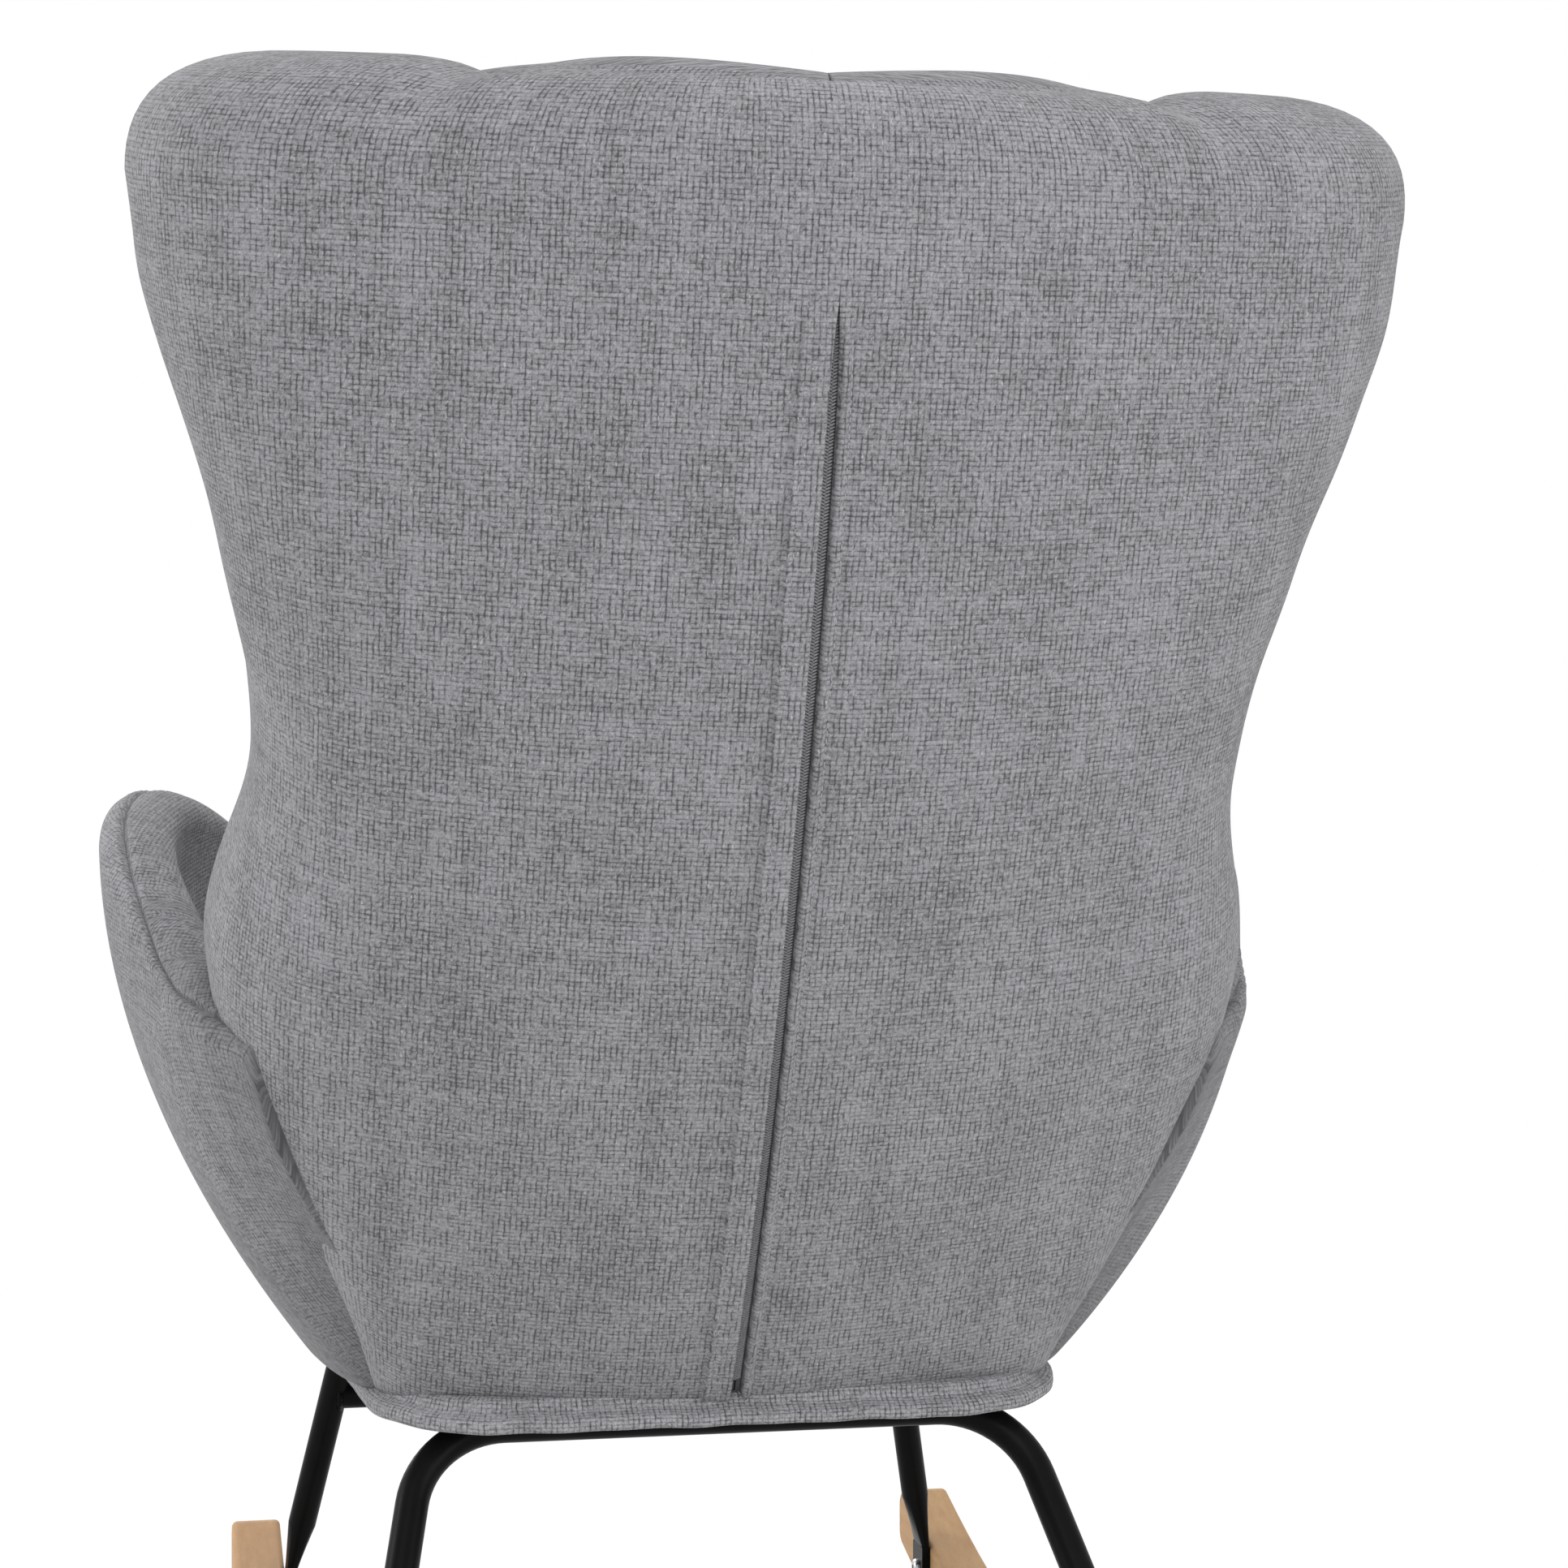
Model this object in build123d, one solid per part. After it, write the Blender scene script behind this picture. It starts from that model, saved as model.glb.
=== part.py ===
from build123d import *
import os
from math import atan, cos, degrees, pi, radians, sin, sqrt, tan

# Upholstered wing-back rocking chair. Millimetres, +Z up, the sitter faces -Y.
# The origin lies on the floor, under the middle of the overall box.

# Fits
SOFT_GAP = 0.4          # between two pieces of upholstery
ROD_GAP = 0.4           # between a rod and the padding that hides it
ARM_SEAM = 0.8          # between an arm and the back
BOLT_CLEARANCE = 0.3    # bolt shank to the hole in a tube or a tab
INSERT_CLEARANCE = 0.1  # bolt shank to the bore of its insert or nut
ZIP_GAP = 0.3           # zip slider to coils, tapes and cover

# Spine of the back: the rear cover's middle line is an arc about a line parallel to X
SPINE_RADIUS = 1975.0
SPINE_CENTRE_RUN = -1599.5  # from the seat's cross tube
SPINE_CENTRE_RISE = 1112.5  # above the seat board's underside there
SPINE_SEAM_ANGLE = -34.0    # degrees above +Y, where the rear cover meets the seat rim

# Layers of the back, counted inwards from the rear cover
COVER_THICKNESS = 14.0
CAVITY_DEPTH = 24.0
PAD_THICKNESS = 40.0
PAD_CROWN = 13.0
WING_CROWN = 5.0
WING_PAD_END = 26.0
NOSE_ROUND = 0.4            # height of a wing's rounded nose as a share of its thickness
CHANNEL_SPLIT = 0.78        # share of the middle arc that belongs to the two middle channels
SCALLOP_INSET = 44.0        # how far a channel's top draws in from its neighbours

# Stations of the back: degrees along the spine from the seam, half width, depth of the wing where it is
# widest, radius of the wing's bend, and how far the wing runs on past its widest point
BACK_STATIONS = [
    (-3.0, 186.0, 62.0, 52.0, 8.0),
    (0.0, 215.0, 78.0, 62.0, 12.0),
    (3.4, 269.0, 114.0, 86.0, 24.0),
    (6.6, 297.0, 132.0, 100.0, 32.0),
    (10.3, 274.5, 130.0, 100.0, 36.0),
    (14.1, 293.5, 134.0, 104.0, 44.0),
    (18.0, 332.0, 143.0, 110.0, 48.0),
    (20.0, 341.0, 148.0, 110.0, 44.0),
]
BACK_SPANS = 13             # sections that the stations are spread over
TOP_ANGLE = 21.9            # the rolled top edge, degrees along the spine
TOP_ROLL_STEPS = (0.0, 0.4, 0.66, 0.84, 0.95, 0.99)
CORNER_DRAW = 56.0          # the wings' upper corners draw in by this much
CREST_ROLL = 28.0           # the rear cover rolls forward by this much at the top
NOSE_DRAW = 34.0            # and the wings' noses draw back by this much
SCALLOP_HEIGHT = 7.0        # a channel's crest above the rear cover's top edge
SCALLOP_ROLL = 18.0         # and how far it rolls in there, front and back
SCALLOP_STEPS = (0.35, 0.62, 0.82, 0.94, 0.99)

# Zip in the middle of the rear cover
ZIP_START_ANGLE = 0.25      # degrees along the spine
ZIP_TOP_ANGLE = 18.75
ZIP_SLOT_WIDTH = 5.0
ZIP_GROOVE_HALF = 7.0
ZIP_GROOVE_DEPTH = 5.5
TAPE_WIDTH = 13.0
TAPE_THICKNESS = 1.0
COIL_WIDTH = 1.8
COIL_HEIGHT = 2.0
COIL_SPACING = 1.6          # between the two coils
SLIDER_LENGTH = 14.0
SLIDER_HALF_WIDTH = 4.6
SLIDER_PLATE = 1.6
ZIP_STOP_LENGTH = 4.0

# Seat base: a plane that rises towards the front, from the top of the rear leg frame
SEAT_TILT = 5.0
SEAT_Y = 70.0               # the rear leg frame's cross tube
SEAT_Z = 278.5              # underside of the seat board above that tube
BOARD_THICKNESS = 12.0
DUST_COVER_THICKNESS = 1.0
WRAP_TOP = 2.0              # padding over the board
WRAP_SIDE = 9.0             # padding round the board's edge
RIM_LIP = 6.5               # the padded edge hangs below the board
RIM_LIP_WIDTH = 15.0
RIM_ROUND = 8.0
SEAT_REAR = 44.0            # from the cross tube back to the rim's rear edge
SEAT_FRONT = 438.0          # from the cross tube forward to the rim's front edge
SEAT_HALF_REAR = 197.0
SEAT_HALF_MIDDLE = 226.0
SEAT_HALF_FRONT = 196.0
SEAT_MIDDLE = 200.0         # from the cross tube forward to the widest place
SEAT_SIDE_ROUND = 420.0
SEAT_CORNER_REAR = 80.0
SEAT_CORNER_FRONT = 60.0

# Seat cushion: layers from its foot to its crown, each with its share of the height, the clear space to the
# back's channels, half width at the sides and at the nose, and how far the front edge draws back
CUSHION_HEIGHT = 128.0
CUSHION_FRONT = 458.0       # from the cross tube forward to the cushion's nose
CUSHION_LAYERS = [
    (0.0, 8.0, 168.0, 144.0, 34.0),
    (0.3, 4.0, 192.0, 162.0, 8.0),
    (0.7, 3.0, 220.0, 172.0, 0.0),
    (0.9, 8.0, 217.0, 166.0, 10.0),
    (1.0, 46.0, 162.0, 116.0, 70.0),
]
CUSHION_REAR_CORNER = 26.0  # the rear corners stand forward of the rear's middle
CUSHION_REAR_SHARE = 0.62   # half width at the rear corners as a share of the sides'
CUSHION_BOW = 14.0          # the front edge's bow

# Arms: stations along the arm, each with its place along Y from the cross tube, then X of the outer face and
# its height over the seat board's underside, at the foot, at half height and at the top, and the thickness
ARM_STATIONS = [
    (46.0, (196.0, 1.5), (243.0, 109.5), (272.0, 201.5), 36.0),
    (-25.0, (220.0, 5.5), (293.0, 129.5), (324.0, 249.5), 44.0),
    (-115.0, (228.0, 11.5), (319.0, 161.5), (354.0, 305.5), 46.0),
    (-205.0, (228.0, 19.5), (323.0, 177.5), (352.0, 333.5), 46.0),
    (-285.0, (221.0, 26.5), (307.0, 177.5), (328.0, 333.5), 46.0),
    (-350.0, (210.0, 32.5), (281.0, 169.5), (292.0, 303.5), 44.0),
    (-392.0, (198.0, 36.5), (252.0, 153.5), (258.0, 249.5), 36.0),
    (-406.0, (192.0, 45.5), (235.0, 147.5), (236.0, 221.5), 14.0),
]
# Shares of an arm's thickness: height of the rolled top, drop of its inner edge, thickness at half height
# and rise of the inner face's fullest place
ARM_CAP = 0.42
ARM_INNER_DROP = 0.12
ARM_INNER_SHARE = 0.93
ARM_INNER_RISE = 0.36
ARM_ROD_DIAMETER = 12.0
ARM_POST_SHARE = 0.68       # how deep a post lies in the padding, as a share of its thickness
ARM_POST_STATIONS = (2, 3, 4)
ARM_PLATE_LENGTH = 44.0
ARM_PLATE_WIDTH = 22.0
ARM_PLATE_THICKNESS = 3.0

# Steel tube of the base
TUBE_DIAMETER = 19.0
TUBE_WALL = 1.5
BEND_RADIUS = 57.0
REAR_CORNER_X = 174.0       # where the cross tube's line meets the rear leg's line
REAR_SPLAY = 0.244          # outward and rearward run for each unit of fall
REAR_RAKE = 0.75
FRONT_CORNER_X = 183.0
FRONT_CORNER_RUN = 358.0    # from the cross tube forward, along the side rail
FRONT_SPLAY = 0.205
FRONT_RAKE = 0.32
RAIL_END_X = 122.0          # where a side rail meets the cross tube
STRETCHER_Z = 217.0
TAB_THICKNESS = 6.0
TAB_WIDTH = 27.0
TAB_LENGTH = 34.0
TAB_END_ROUND = 13.0
TAB_FULLNESS = 0.88         # how square the pressed section is
FLATTEN_LENGTH = 42.0

# Rockers: two arcs that meet, level, at the point the chair rests on
ROCKER_INNER_X = 231.0
ROCKER_THICKNESS = 34.0
ROCKER_HEIGHT = 42.0
ROCKER_REST_Y = 12.7
ROCKER_FRONT_RADIUS = 1550.0
ROCKER_REAR_RADIUS = 1300.0
ROCKER_HALF_LENGTH = 440.0
ROCKER_END_ROUND = 13.0
ROCKER_EDGE_ROUND = 4.0

# Fasteners
BOLT_DIAMETER = 6.0
HEAD_DIAMETER = 12.0
HEAD_HEIGHT = 3.6
HEAD_ROUND = 2.5
BOLT_SHORTFALL = 1.5        # a bolt ends this far short of its thread's far end
SOCKET_SIZE = 4.0
SOCKET_DEPTH = 2.2
INSERT_DIAMETER = 10.0
INSERT_LENGTH = 18.0
TEE_FLANGE_DIAMETER = 18.0
TEE_FLANGE_THICKNESS = 1.4
TEE_BARREL_DIAMETER = 8.0
SEAT_BOLT_RUNS = (60.0, 285.0)  # seat bolts through a side rail, forward of the cross tube
SCREW_DIAMETER = 4.5
SCREW_HEAD_DIAMETER = 9.0
SCREW_HEAD_HEIGHT = 2.6
SCREW_LENGTH = 10.0
SCREW_EDGE = 1.0            # from a screw head to the end of its plate

# Frame inside the back
UPRIGHT_X = 108.0
UPRIGHT_DIAMETER = 14.0
UPRIGHT_TOP = 19.6          # degrees along the spine
CROSS_BAR_ANGLES = (8.0, 19.2)
FOOT_LENGTH = 56.0
FOOT_WIDTH = 14.0
FOOT_THICKNESS = 3.0
FOOT_SCREW_SPACING = 38.0
WEBBING_ANGLES = (5.2, 10.8, 13.4, 16.0)
WEBBING_WIDTH = 42.0
WEBBING_THICKNESS = 1.8
WEBBING_GAP = 0.8           # to the channels in front of it
WEBBING_HALF_SPAN = 124.0

# Worked out from the sizes above
SEAT_PLANE = Plane(
    origin=(0, SEAT_Y, SEAT_Z),
    x_dir=(1, 0, 0),
    z_dir=(0, sin(radians(SEAT_TILT)), cos(radians(SEAT_TILT))),
)
UPHOLSTERY_FLOOR = BOARD_THICKNESS + WRAP_TOP
TUBE_RADIUS = TUBE_DIAMETER / 2
TUBE_DROP = DUST_COVER_THICKNESS + TUBE_RADIUS
PAD_BACK = COVER_THICKNESS + CAVITY_DEPTH
PAD_FRONT = PAD_BACK + PAD_THICKNESS
FRAME_LAYER = COVER_THICKNESS + CAVITY_DEPTH / 2
BACK_FOOT = BACK_STATIONS[0][0]
SPINE_CENTRE_Y = SEAT_Y + SPINE_CENTRE_RUN
SPINE_CENTRE_Z = SEAT_Z + SPINE_CENTRE_RISE


def spine_point(turn, x, depth):
    """Point on the section plane that lies `turn` degrees along the spine from the seam."""
    angle = radians(SPINE_SEAM_ANGLE + turn)
    reach = SPINE_RADIUS - depth
    return Vector(x, SPINE_CENTRE_Y + reach * cos(angle), SPINE_CENTRE_Z + reach * sin(angle))


def seat_point(x, y, z):
    """Point given in the seat's own plane, y rearwards from the cross tube."""
    return SEAT_PLANE.from_local_coords(Vector(x, y, z))


def spine_on_seat(height, depth):
    """How far back a layer of the back's middle lies at a height over the seat, in the seat's own plane."""
    centre = SEAT_PLANE.to_local_coords(Vector(0, SPINE_CENTRE_Y, SPINE_CENTRE_Z))
    return centre.Y + sqrt((SPINE_RADIUS - depth) ** 2 - (height - centre.Z) ** 2)


def mirrored(piece):
    return mirror(piece, about=Plane.YZ)


def outline(place, *runs):
    """Closed wire from runs of two points, a line, or three points, an arc."""
    edges = []
    for run in runs:
        spots = [place(*spot) for spot in run]
        edges.append(Edge.make_line(*spots) if len(spots) == 2 else Edge.make_three_point_arc(*spots))
    return Wire(edges)


class BackSection:
    """One station of the back: a flat middle arc that runs into the bends of the two wings."""

    def __init__(self, turn, half_width, wing_depth, bend, run_on):
        self.turn = turn
        self.half_width = half_width
        self.wing_depth = wing_depth
        self.bend = bend
        self.nose = wing_depth + run_on
        self.join = 2 * atan((wing_depth - bend) / (half_width - bend))
        self.middle = bend + (half_width - bend) / sin(self.join)

    def on_middle(self, angle, depth):
        reach = self.middle - depth
        return (reach * sin(angle), self.middle - reach * cos(angle))

    def on_bend(self, angle, depth):
        reach = self.bend - depth
        return (self.half_width - self.bend + reach * sin(angle), self.wing_depth - reach * cos(angle))

    def on_side(self, depth, run):
        return (self.half_width - depth, run)

    def place(self, x, depth):
        return spine_point(self.turn, x, depth)

    def wall(self, depth, side, past_nose=0):
        """Runs of one layer's surface, from the middle line to the nose of one wing or past it."""
        half_bend = (self.join + pi / 2) / 2
        spots = [
            self.on_middle(0, depth),
            self.on_middle(self.join / 2, depth),
            self.on_middle(self.join, depth),
            self.on_bend(half_bend, depth),
            self.on_bend(pi / 2, depth),
            self.on_side(depth, self.nose + past_nose),
        ]
        a, b, c, d, e, f = [(side * x, y) for x, y in spots]
        return [(a, b, c), (c, d, e), (e, f)]


def reverse(runs):
    return [tuple(reversed(run)) for run in reversed(runs)]


def slope(rows, index, column):
    """Slope of one column of the stations at a row, for a smooth curve through them."""
    low = rows[max(index - 1, 0)]
    high = rows[min(index + 1, len(rows) - 1)]
    return (high[column] - low[column]) / (high[0] - low[0])


def section_at(turn):
    """Section of the back at any angle, on smooth curves through the stations."""
    rows = BACK_STATIONS
    index = max(i for i in range(len(rows) - 1) if i == 0 or rows[i][0] <= turn)
    low = rows[index]
    high = rows[index + 1]
    span = high[0] - low[0]
    t = (turn - low[0]) / span
    sizes = []
    for column in range(1, len(low)):
        rise = high[column] - low[column]
        bend = (slope(rows, index, column) * span - rise) * (1 - t)
        bend -= (slope(rows, index + 1, column) * span - rise) * t
        sizes.append(low[column] + rise * t + t * (1 - t) * bend)
    return BackSection(turn, *sizes)


def back_layers():
    """Sections of the whole back from foot to top, each with its share of the top's roll."""
    turn, half_width, wing_depth, bend, run_on = BACK_STATIONS[-1]
    span = turn - BACK_FOOT
    pairs = [(section_at(BACK_FOOT + span * step / BACK_SPANS), 0) for step in range(BACK_SPANS)]
    for step in TOP_ROLL_STEPS:
        roll = 1 - sqrt(1 - step ** 2)
        section = BackSection(
            turn + (TOP_ANGLE - turn) * step,
            half_width - CORNER_DRAW * roll,
            wing_depth,
            bend,
            run_on - NOSE_DRAW * roll,
        )
        pairs.append((section, roll))
    return pairs


def above_seat(solid):
    """Cuts a piece of upholstery off at the top of the padded seat base."""
    size = SPINE_RADIUS
    floor = UPHOLSTERY_FLOOR + SOFT_GAP
    return solid - SEAT_PLANE * Pos(0, 0, floor - size / 2) * Box(size, size, size)


# Rear cover of the back, with the slot and the inner groove of the zip
def cover_outline(section, outer, inner):
    ends = []
    for side in (1, -1):
        start = (side * (section.half_width - outer), section.nose)
        stop = (side * (section.half_width - inner), section.nose)
        tip = section.nose + NOSE_ROUND * (inner - outer)
        ends.append((start, (side * (section.half_width - (outer + inner) / 2), tip), stop))
    left_end, right_end = ends
    runs = reverse(section.wall(outer, -1)) + section.wall(outer, 1) + [left_end]
    runs += reverse(section.wall(inner, 1)) + section.wall(inner, -1) + [tuple(reversed(right_end))]
    return outline(section.place, *runs)


def zip_ring(half_width, outer_depth, inner_depth, start, stop):
    """Band about the spine's axis, from one angle along the spine to another."""
    profile = Rectangle(2 * half_width, inner_depth - outer_depth)
    angle = radians(SPINE_SEAM_ANGLE + start)
    middle = spine_point(start, 0, (outer_depth + inner_depth) / 2)
    plane = Plane(origin=middle, x_dir=(1, 0, 0), z_dir=(0, -sin(angle), cos(angle)))
    axis = Axis((0, SPINE_CENTRE_Y, SPINE_CENTRE_Z), (1, 0, 0))
    return revolve(plane * profile, axis, stop - start)


def zip_slot():
    """Wedge that is widest at the seat and closes at the zip's upper end."""
    width = ZIP_SLOT_WIDTH * (ZIP_TOP_ANGLE - BACK_FOOT) / ZIP_TOP_ANGLE
    foot = spine_point(BACK_FOOT, 0, 0)
    tip = spine_point(ZIP_TOP_ANGLE, 0, 0)
    rise = tip - foot
    plane = Plane(origin=foot, x_dir=(1, 0, 0), z_dir=Vector(1, 0, 0).cross(rise))
    wedge = make_face(Polyline((-width / 2, 0), (width / 2, 0), (0, rise.length), close=True))
    return extrude(plane * wedge, 4 * COVER_THICKNESS, both=True)


def cover_inside(roll):
    """Depth of the cover's inner face, which closes on the channels where the top rolls over."""
    return COVER_THICKNESS + roll * (CAVITY_DEPTH - 2 * SOFT_GAP)


def rear_cover():
    wires = []
    for section, roll in back_layers():
        wires.append(cover_outline(section, CREST_ROLL * roll, cover_inside(roll)))
    cover = above_seat(Solid.make_loft(wires))
    groove_top = COVER_THICKNESS - ZIP_GROOVE_DEPTH
    groove = zip_ring(ZIP_GROOVE_HALF, groove_top, PAD_BACK, BACK_FOOT, ZIP_TOP_ANGLE)
    return cover - groove - zip_slot()


# Front channels of the back
def pad_outline(section, back, front, crown, side, inset):
    """Section of a middle channel, from the middle line to its seam with the wing channel."""
    reach = section.middle - back
    gap = (SOFT_GAP + inset) / reach
    low = gap
    high = CHANNEL_SPLIT * section.join - gap
    half = (low + high) / 2
    spots = [
        section.on_middle(low, back),
        section.on_middle(half, back),
        section.on_middle(high, back),
        section.on_middle(high, front),
        section.on_middle(half, front + crown),
        section.on_middle(low, front),
    ]
    a, b, c, d, e, f = [(side * x, y) for x, y in spots]
    return outline(section.place, (a, b, c), (c, d), (d, e, f), (f, a))


def wing_pad_outline(section, roll, side):
    """Section of a wing channel, from the middle channel round the bend to the wing's nose."""
    back = PAD_BACK
    front = PAD_FRONT - CREST_ROLL * roll / 2
    crown = WING_CROWN * (1 - roll / 2)
    low = CHANNEL_SPLIT * section.join + SOFT_GAP / (section.middle - back)
    outside = section.half_width - cover_inside(roll) - SOFT_GAP
    root = section.on_middle(low, front)
    tip = (outside - WING_PAD_END, section.nose)
    run = Vector(tip[0] - root[0], tip[1] - root[1])
    swell = (Vector(*root) + Vector(*tip)) / 2 + Vector(-run.Y, run.X) * (crown / run.length)
    spots = [
        section.on_middle(low, back),
        section.on_middle((low + section.join) / 2, back),
        section.on_middle(section.join, back),
        section.on_bend((section.join + pi / 2) / 2, back),
        section.on_bend(pi / 2, back),
        (outside, section.nose),
        (outside - WING_PAD_END / 2, section.nose + NOSE_ROUND * WING_PAD_END),
        tip,
        (swell.X, swell.Y),
        root,
    ]
    a, b, c, d, e, f, g, h, i, j = [(side * x, y) for x, y in spots]
    return outline(section.place, (a, b, c), (c, d, e), (e, f), (f, g, h), (h, i, j), (j, a))


def middle_channel(side):
    """One of the two channels beside the middle line, with its crest above the rear cover."""
    layers = [(section, 0) for section, roll in back_layers()]
    last = layers[-1][0]
    for step in SCALLOP_STEPS:
        turn = TOP_ANGLE + degrees(SCALLOP_HEIGHT * step / SPINE_RADIUS)
        crest = BackSection(turn, last.half_width, last.wing_depth, last.bend, last.nose - last.wing_depth)
        layers.append((crest, 1 - sqrt(1 - step ** 2)))
    wires = []
    for section, roll in layers:
        back = PAD_BACK + SCALLOP_ROLL * roll / 2
        front = PAD_FRONT - SCALLOP_ROLL * roll
        crown = PAD_CROWN * (1 - roll / 2)
        wires.append(pad_outline(section, back, front, crown, side, SCALLOP_INSET * roll))
    return above_seat(Solid.make_loft(wires))


def wing_channel(side):
    """One of the two channels that line the wings."""
    return above_seat(Solid.make_loft([wing_pad_outline(*layer, side) for layer in back_layers()]))


# Frame, webbing and screws inside the back
def cavity_depth(turn, x, layer):
    """Depth below the rear cover's middle line of a layer of the back, at a given X."""
    section = section_at(turn)
    reach = section.middle - layer
    return section.middle - sqrt(reach ** 2 - x ** 2)


def rod(path, diameter):
    start = path @ 0
    profile = Plane(origin=start, z_dir=path % 0) * Circle(diameter / 2)
    return sweep(profile, path)


def upright_spot(turn):
    return spine_point(turn, UPRIGHT_X, cavity_depth(turn, UPRIGHT_X, FRAME_LAYER))


def foot_spot():
    """Where an upright stands on the seat base, in the seat's own plane."""
    depth = cavity_depth(0, UPRIGHT_X, FRAME_LAYER)
    return Vector(UPRIGHT_X, spine_on_seat(UPHOLSTERY_FLOOR, depth), UPHOLSTERY_FLOOR)


def back_frame():
    middle = upright_spot(UPRIGHT_TOP / 2)
    foot = foot_spot()
    base = seat_point(foot.X, foot.Y, foot.Z + FOOT_THICKNESS / 2)
    left = rod(Edge.make_three_point_arc(base, middle, upright_spot(UPRIGHT_TOP)), UPRIGHT_DIAMETER)
    plate = Box(FOOT_LENGTH, FOOT_WIDTH, FOOT_THICKNESS)
    for offset in (-FOOT_SCREW_SPACING / 2, FOOT_SCREW_SPACING / 2):
        plate -= Pos(offset, 0, 0) * Cylinder(SCREW_DIAMETER / 2 + BOLT_CLEARANCE, 2 * FOOT_THICKNESS)
    left += SEAT_PLANE * Pos(foot.X, foot.Y, foot.Z + FOOT_THICKNESS / 2) * plate
    left -= SEAT_PLANE * Pos(foot.X, foot.Y, foot.Z - FOOT_LENGTH / 2) * Box(*[FOOT_LENGTH] * 3)
    frame = left + mirrored(left)
    for turn in CROSS_BAR_ANGLES:
        ends = [spine_point(turn, x, cavity_depth(turn, x, FRAME_LAYER)) for x in (-UPRIGHT_X, 0, UPRIGHT_X)]
        frame += rod(Edge.make_three_point_arc(*ends), UPRIGHT_DIAMETER)
    return frame


def back_webbing():
    """Elastic bands across the front of the back frame."""
    bands = []
    layer = PAD_BACK - WEBBING_GAP - WEBBING_THICKNESS
    for turn in WEBBING_ANGLES:
        section = section_at(turn)
        near = section.middle - layer
        far = near - WEBBING_THICKNESS
        spread = WEBBING_HALF_SPAN / near
        spots = []
        for angle in (-spread, 0, spread):
            spots.append(((near * sin(angle), section.middle - near * cos(angle)),
                          (far * sin(angle), section.middle - far * cos(angle))))
        rear = [pair[0] for pair in spots]
        front = [pair[1] for pair in spots]
        wire = outline(section.place, rear, (rear[2], front[2]), tuple(reversed(front)), (front[0], rear[0]))
        angle = radians(SPINE_SEAM_ANGLE + turn)
        along = Vector(0, -sin(angle), cos(angle))
        bands.append(extrude(Face(wire), WEBBING_WIDTH / 2, dir=along, both=True))
    return Compound(bands)


def back_screw_spots():
    foot = foot_spot()
    half = FOOT_SCREW_SPACING / 2
    return [Vector(side * (foot.X + x), foot.Y, foot.Z) for side in (1, -1) for x in (-half, half)]


def wood_screw():
    """Screw with the underside of its head at the origin."""
    shank = Pos(0, 0, -SCREW_LENGTH / 2) * Cylinder(SCREW_DIAMETER / 2, SCREW_LENGTH)
    return shank + Pos(0, 0, SCREW_HEAD_HEIGHT / 2) * Cylinder(SCREW_HEAD_DIAMETER / 2, SCREW_HEAD_HEIGHT)


def screw_set(spots, plate):
    lift = Vector(0, 0, plate)
    return Compound([SEAT_PLANE * Pos(spot + lift) * wood_screw() for spot in spots])


def both_sides(spots):
    return spots + [Vector(-spot.X, spot.Y, spot.Z) for spot in spots]


def screw_holes():
    """Bores of all the wood screws, in the seat's own plane."""
    bore = Cylinder(SCREW_DIAMETER / 2, 2 * SCREW_LENGTH)
    return [Pos(spot) * bore for spot in back_screw_spots() + both_sides(arm_screw_spots())]


# Zip
def zip_pieces():
    tape_top = COVER_THICKNESS + ZIP_GAP
    start = ZIP_START_ANGLE
    stop_turn = degrees(ZIP_STOP_LENGTH / SPINE_RADIUS)
    slider_turn = degrees(SLIDER_LENGTH / SPINE_RADIUS)
    coil_start = start + stop_turn
    coil_end = ZIP_TOP_ANGLE - stop_turn
    coil_near = COIL_SPACING / 2
    coil_top = tape_top - COIL_HEIGHT
    tapes = []
    coils = []
    stops = []
    for side in (1, -1):
        tape = zip_ring(TAPE_WIDTH / 2, tape_top, tape_top + TAPE_THICKNESS, start, ZIP_TOP_ANGLE)
        tapes.append(Pos(side * (coil_near + TAPE_WIDTH / 2), 0, 0) * tape)
        coil = zip_ring(COIL_WIDTH / 2, coil_top, tape_top, coil_start, coil_end)
        coils.append(Pos(side * (coil_near + COIL_WIDTH / 2), 0, 0) * coil)
    for turn in (start, coil_end):
        stops.append(zip_ring(coil_near + COIL_WIDTH, coil_top, tape_top, turn, turn + stop_turn))
    outer_plate = coil_top - ZIP_GAP - SLIDER_PLATE
    inner_plate = tape_top + TAPE_THICKNESS + ZIP_GAP
    low = coil_start + degrees(ZIP_GAP / SPINE_RADIUS)
    high = low + slider_turn
    slider = zip_ring(SLIDER_HALF_WIDTH, outer_plate, outer_plate + SLIDER_PLATE, low, high)
    slider += zip_ring(SLIDER_HALF_WIDTH, inner_plate, inner_plate + SLIDER_PLATE, low, high)
    slider += zip_ring(coil_near - ZIP_GAP, outer_plate, inner_plate + SLIDER_PLATE, low, high)
    print("zip slider travel, degrees:", round(coil_end - high - degrees(ZIP_GAP / SPINE_RADIUS), 3))
    return {
        "zip_tapes": Compound(tapes),
        "zip_coils": Compound(coils),
        "zip_stops": Compound(stops),
        "zip_slider": slider,
    }


# Arms
def arm_point(x, y, z):
    """Point given from the cross tube and the seat board's underside."""
    return Vector(x, SEAT_Y + y, SEAT_Z + z)


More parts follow.
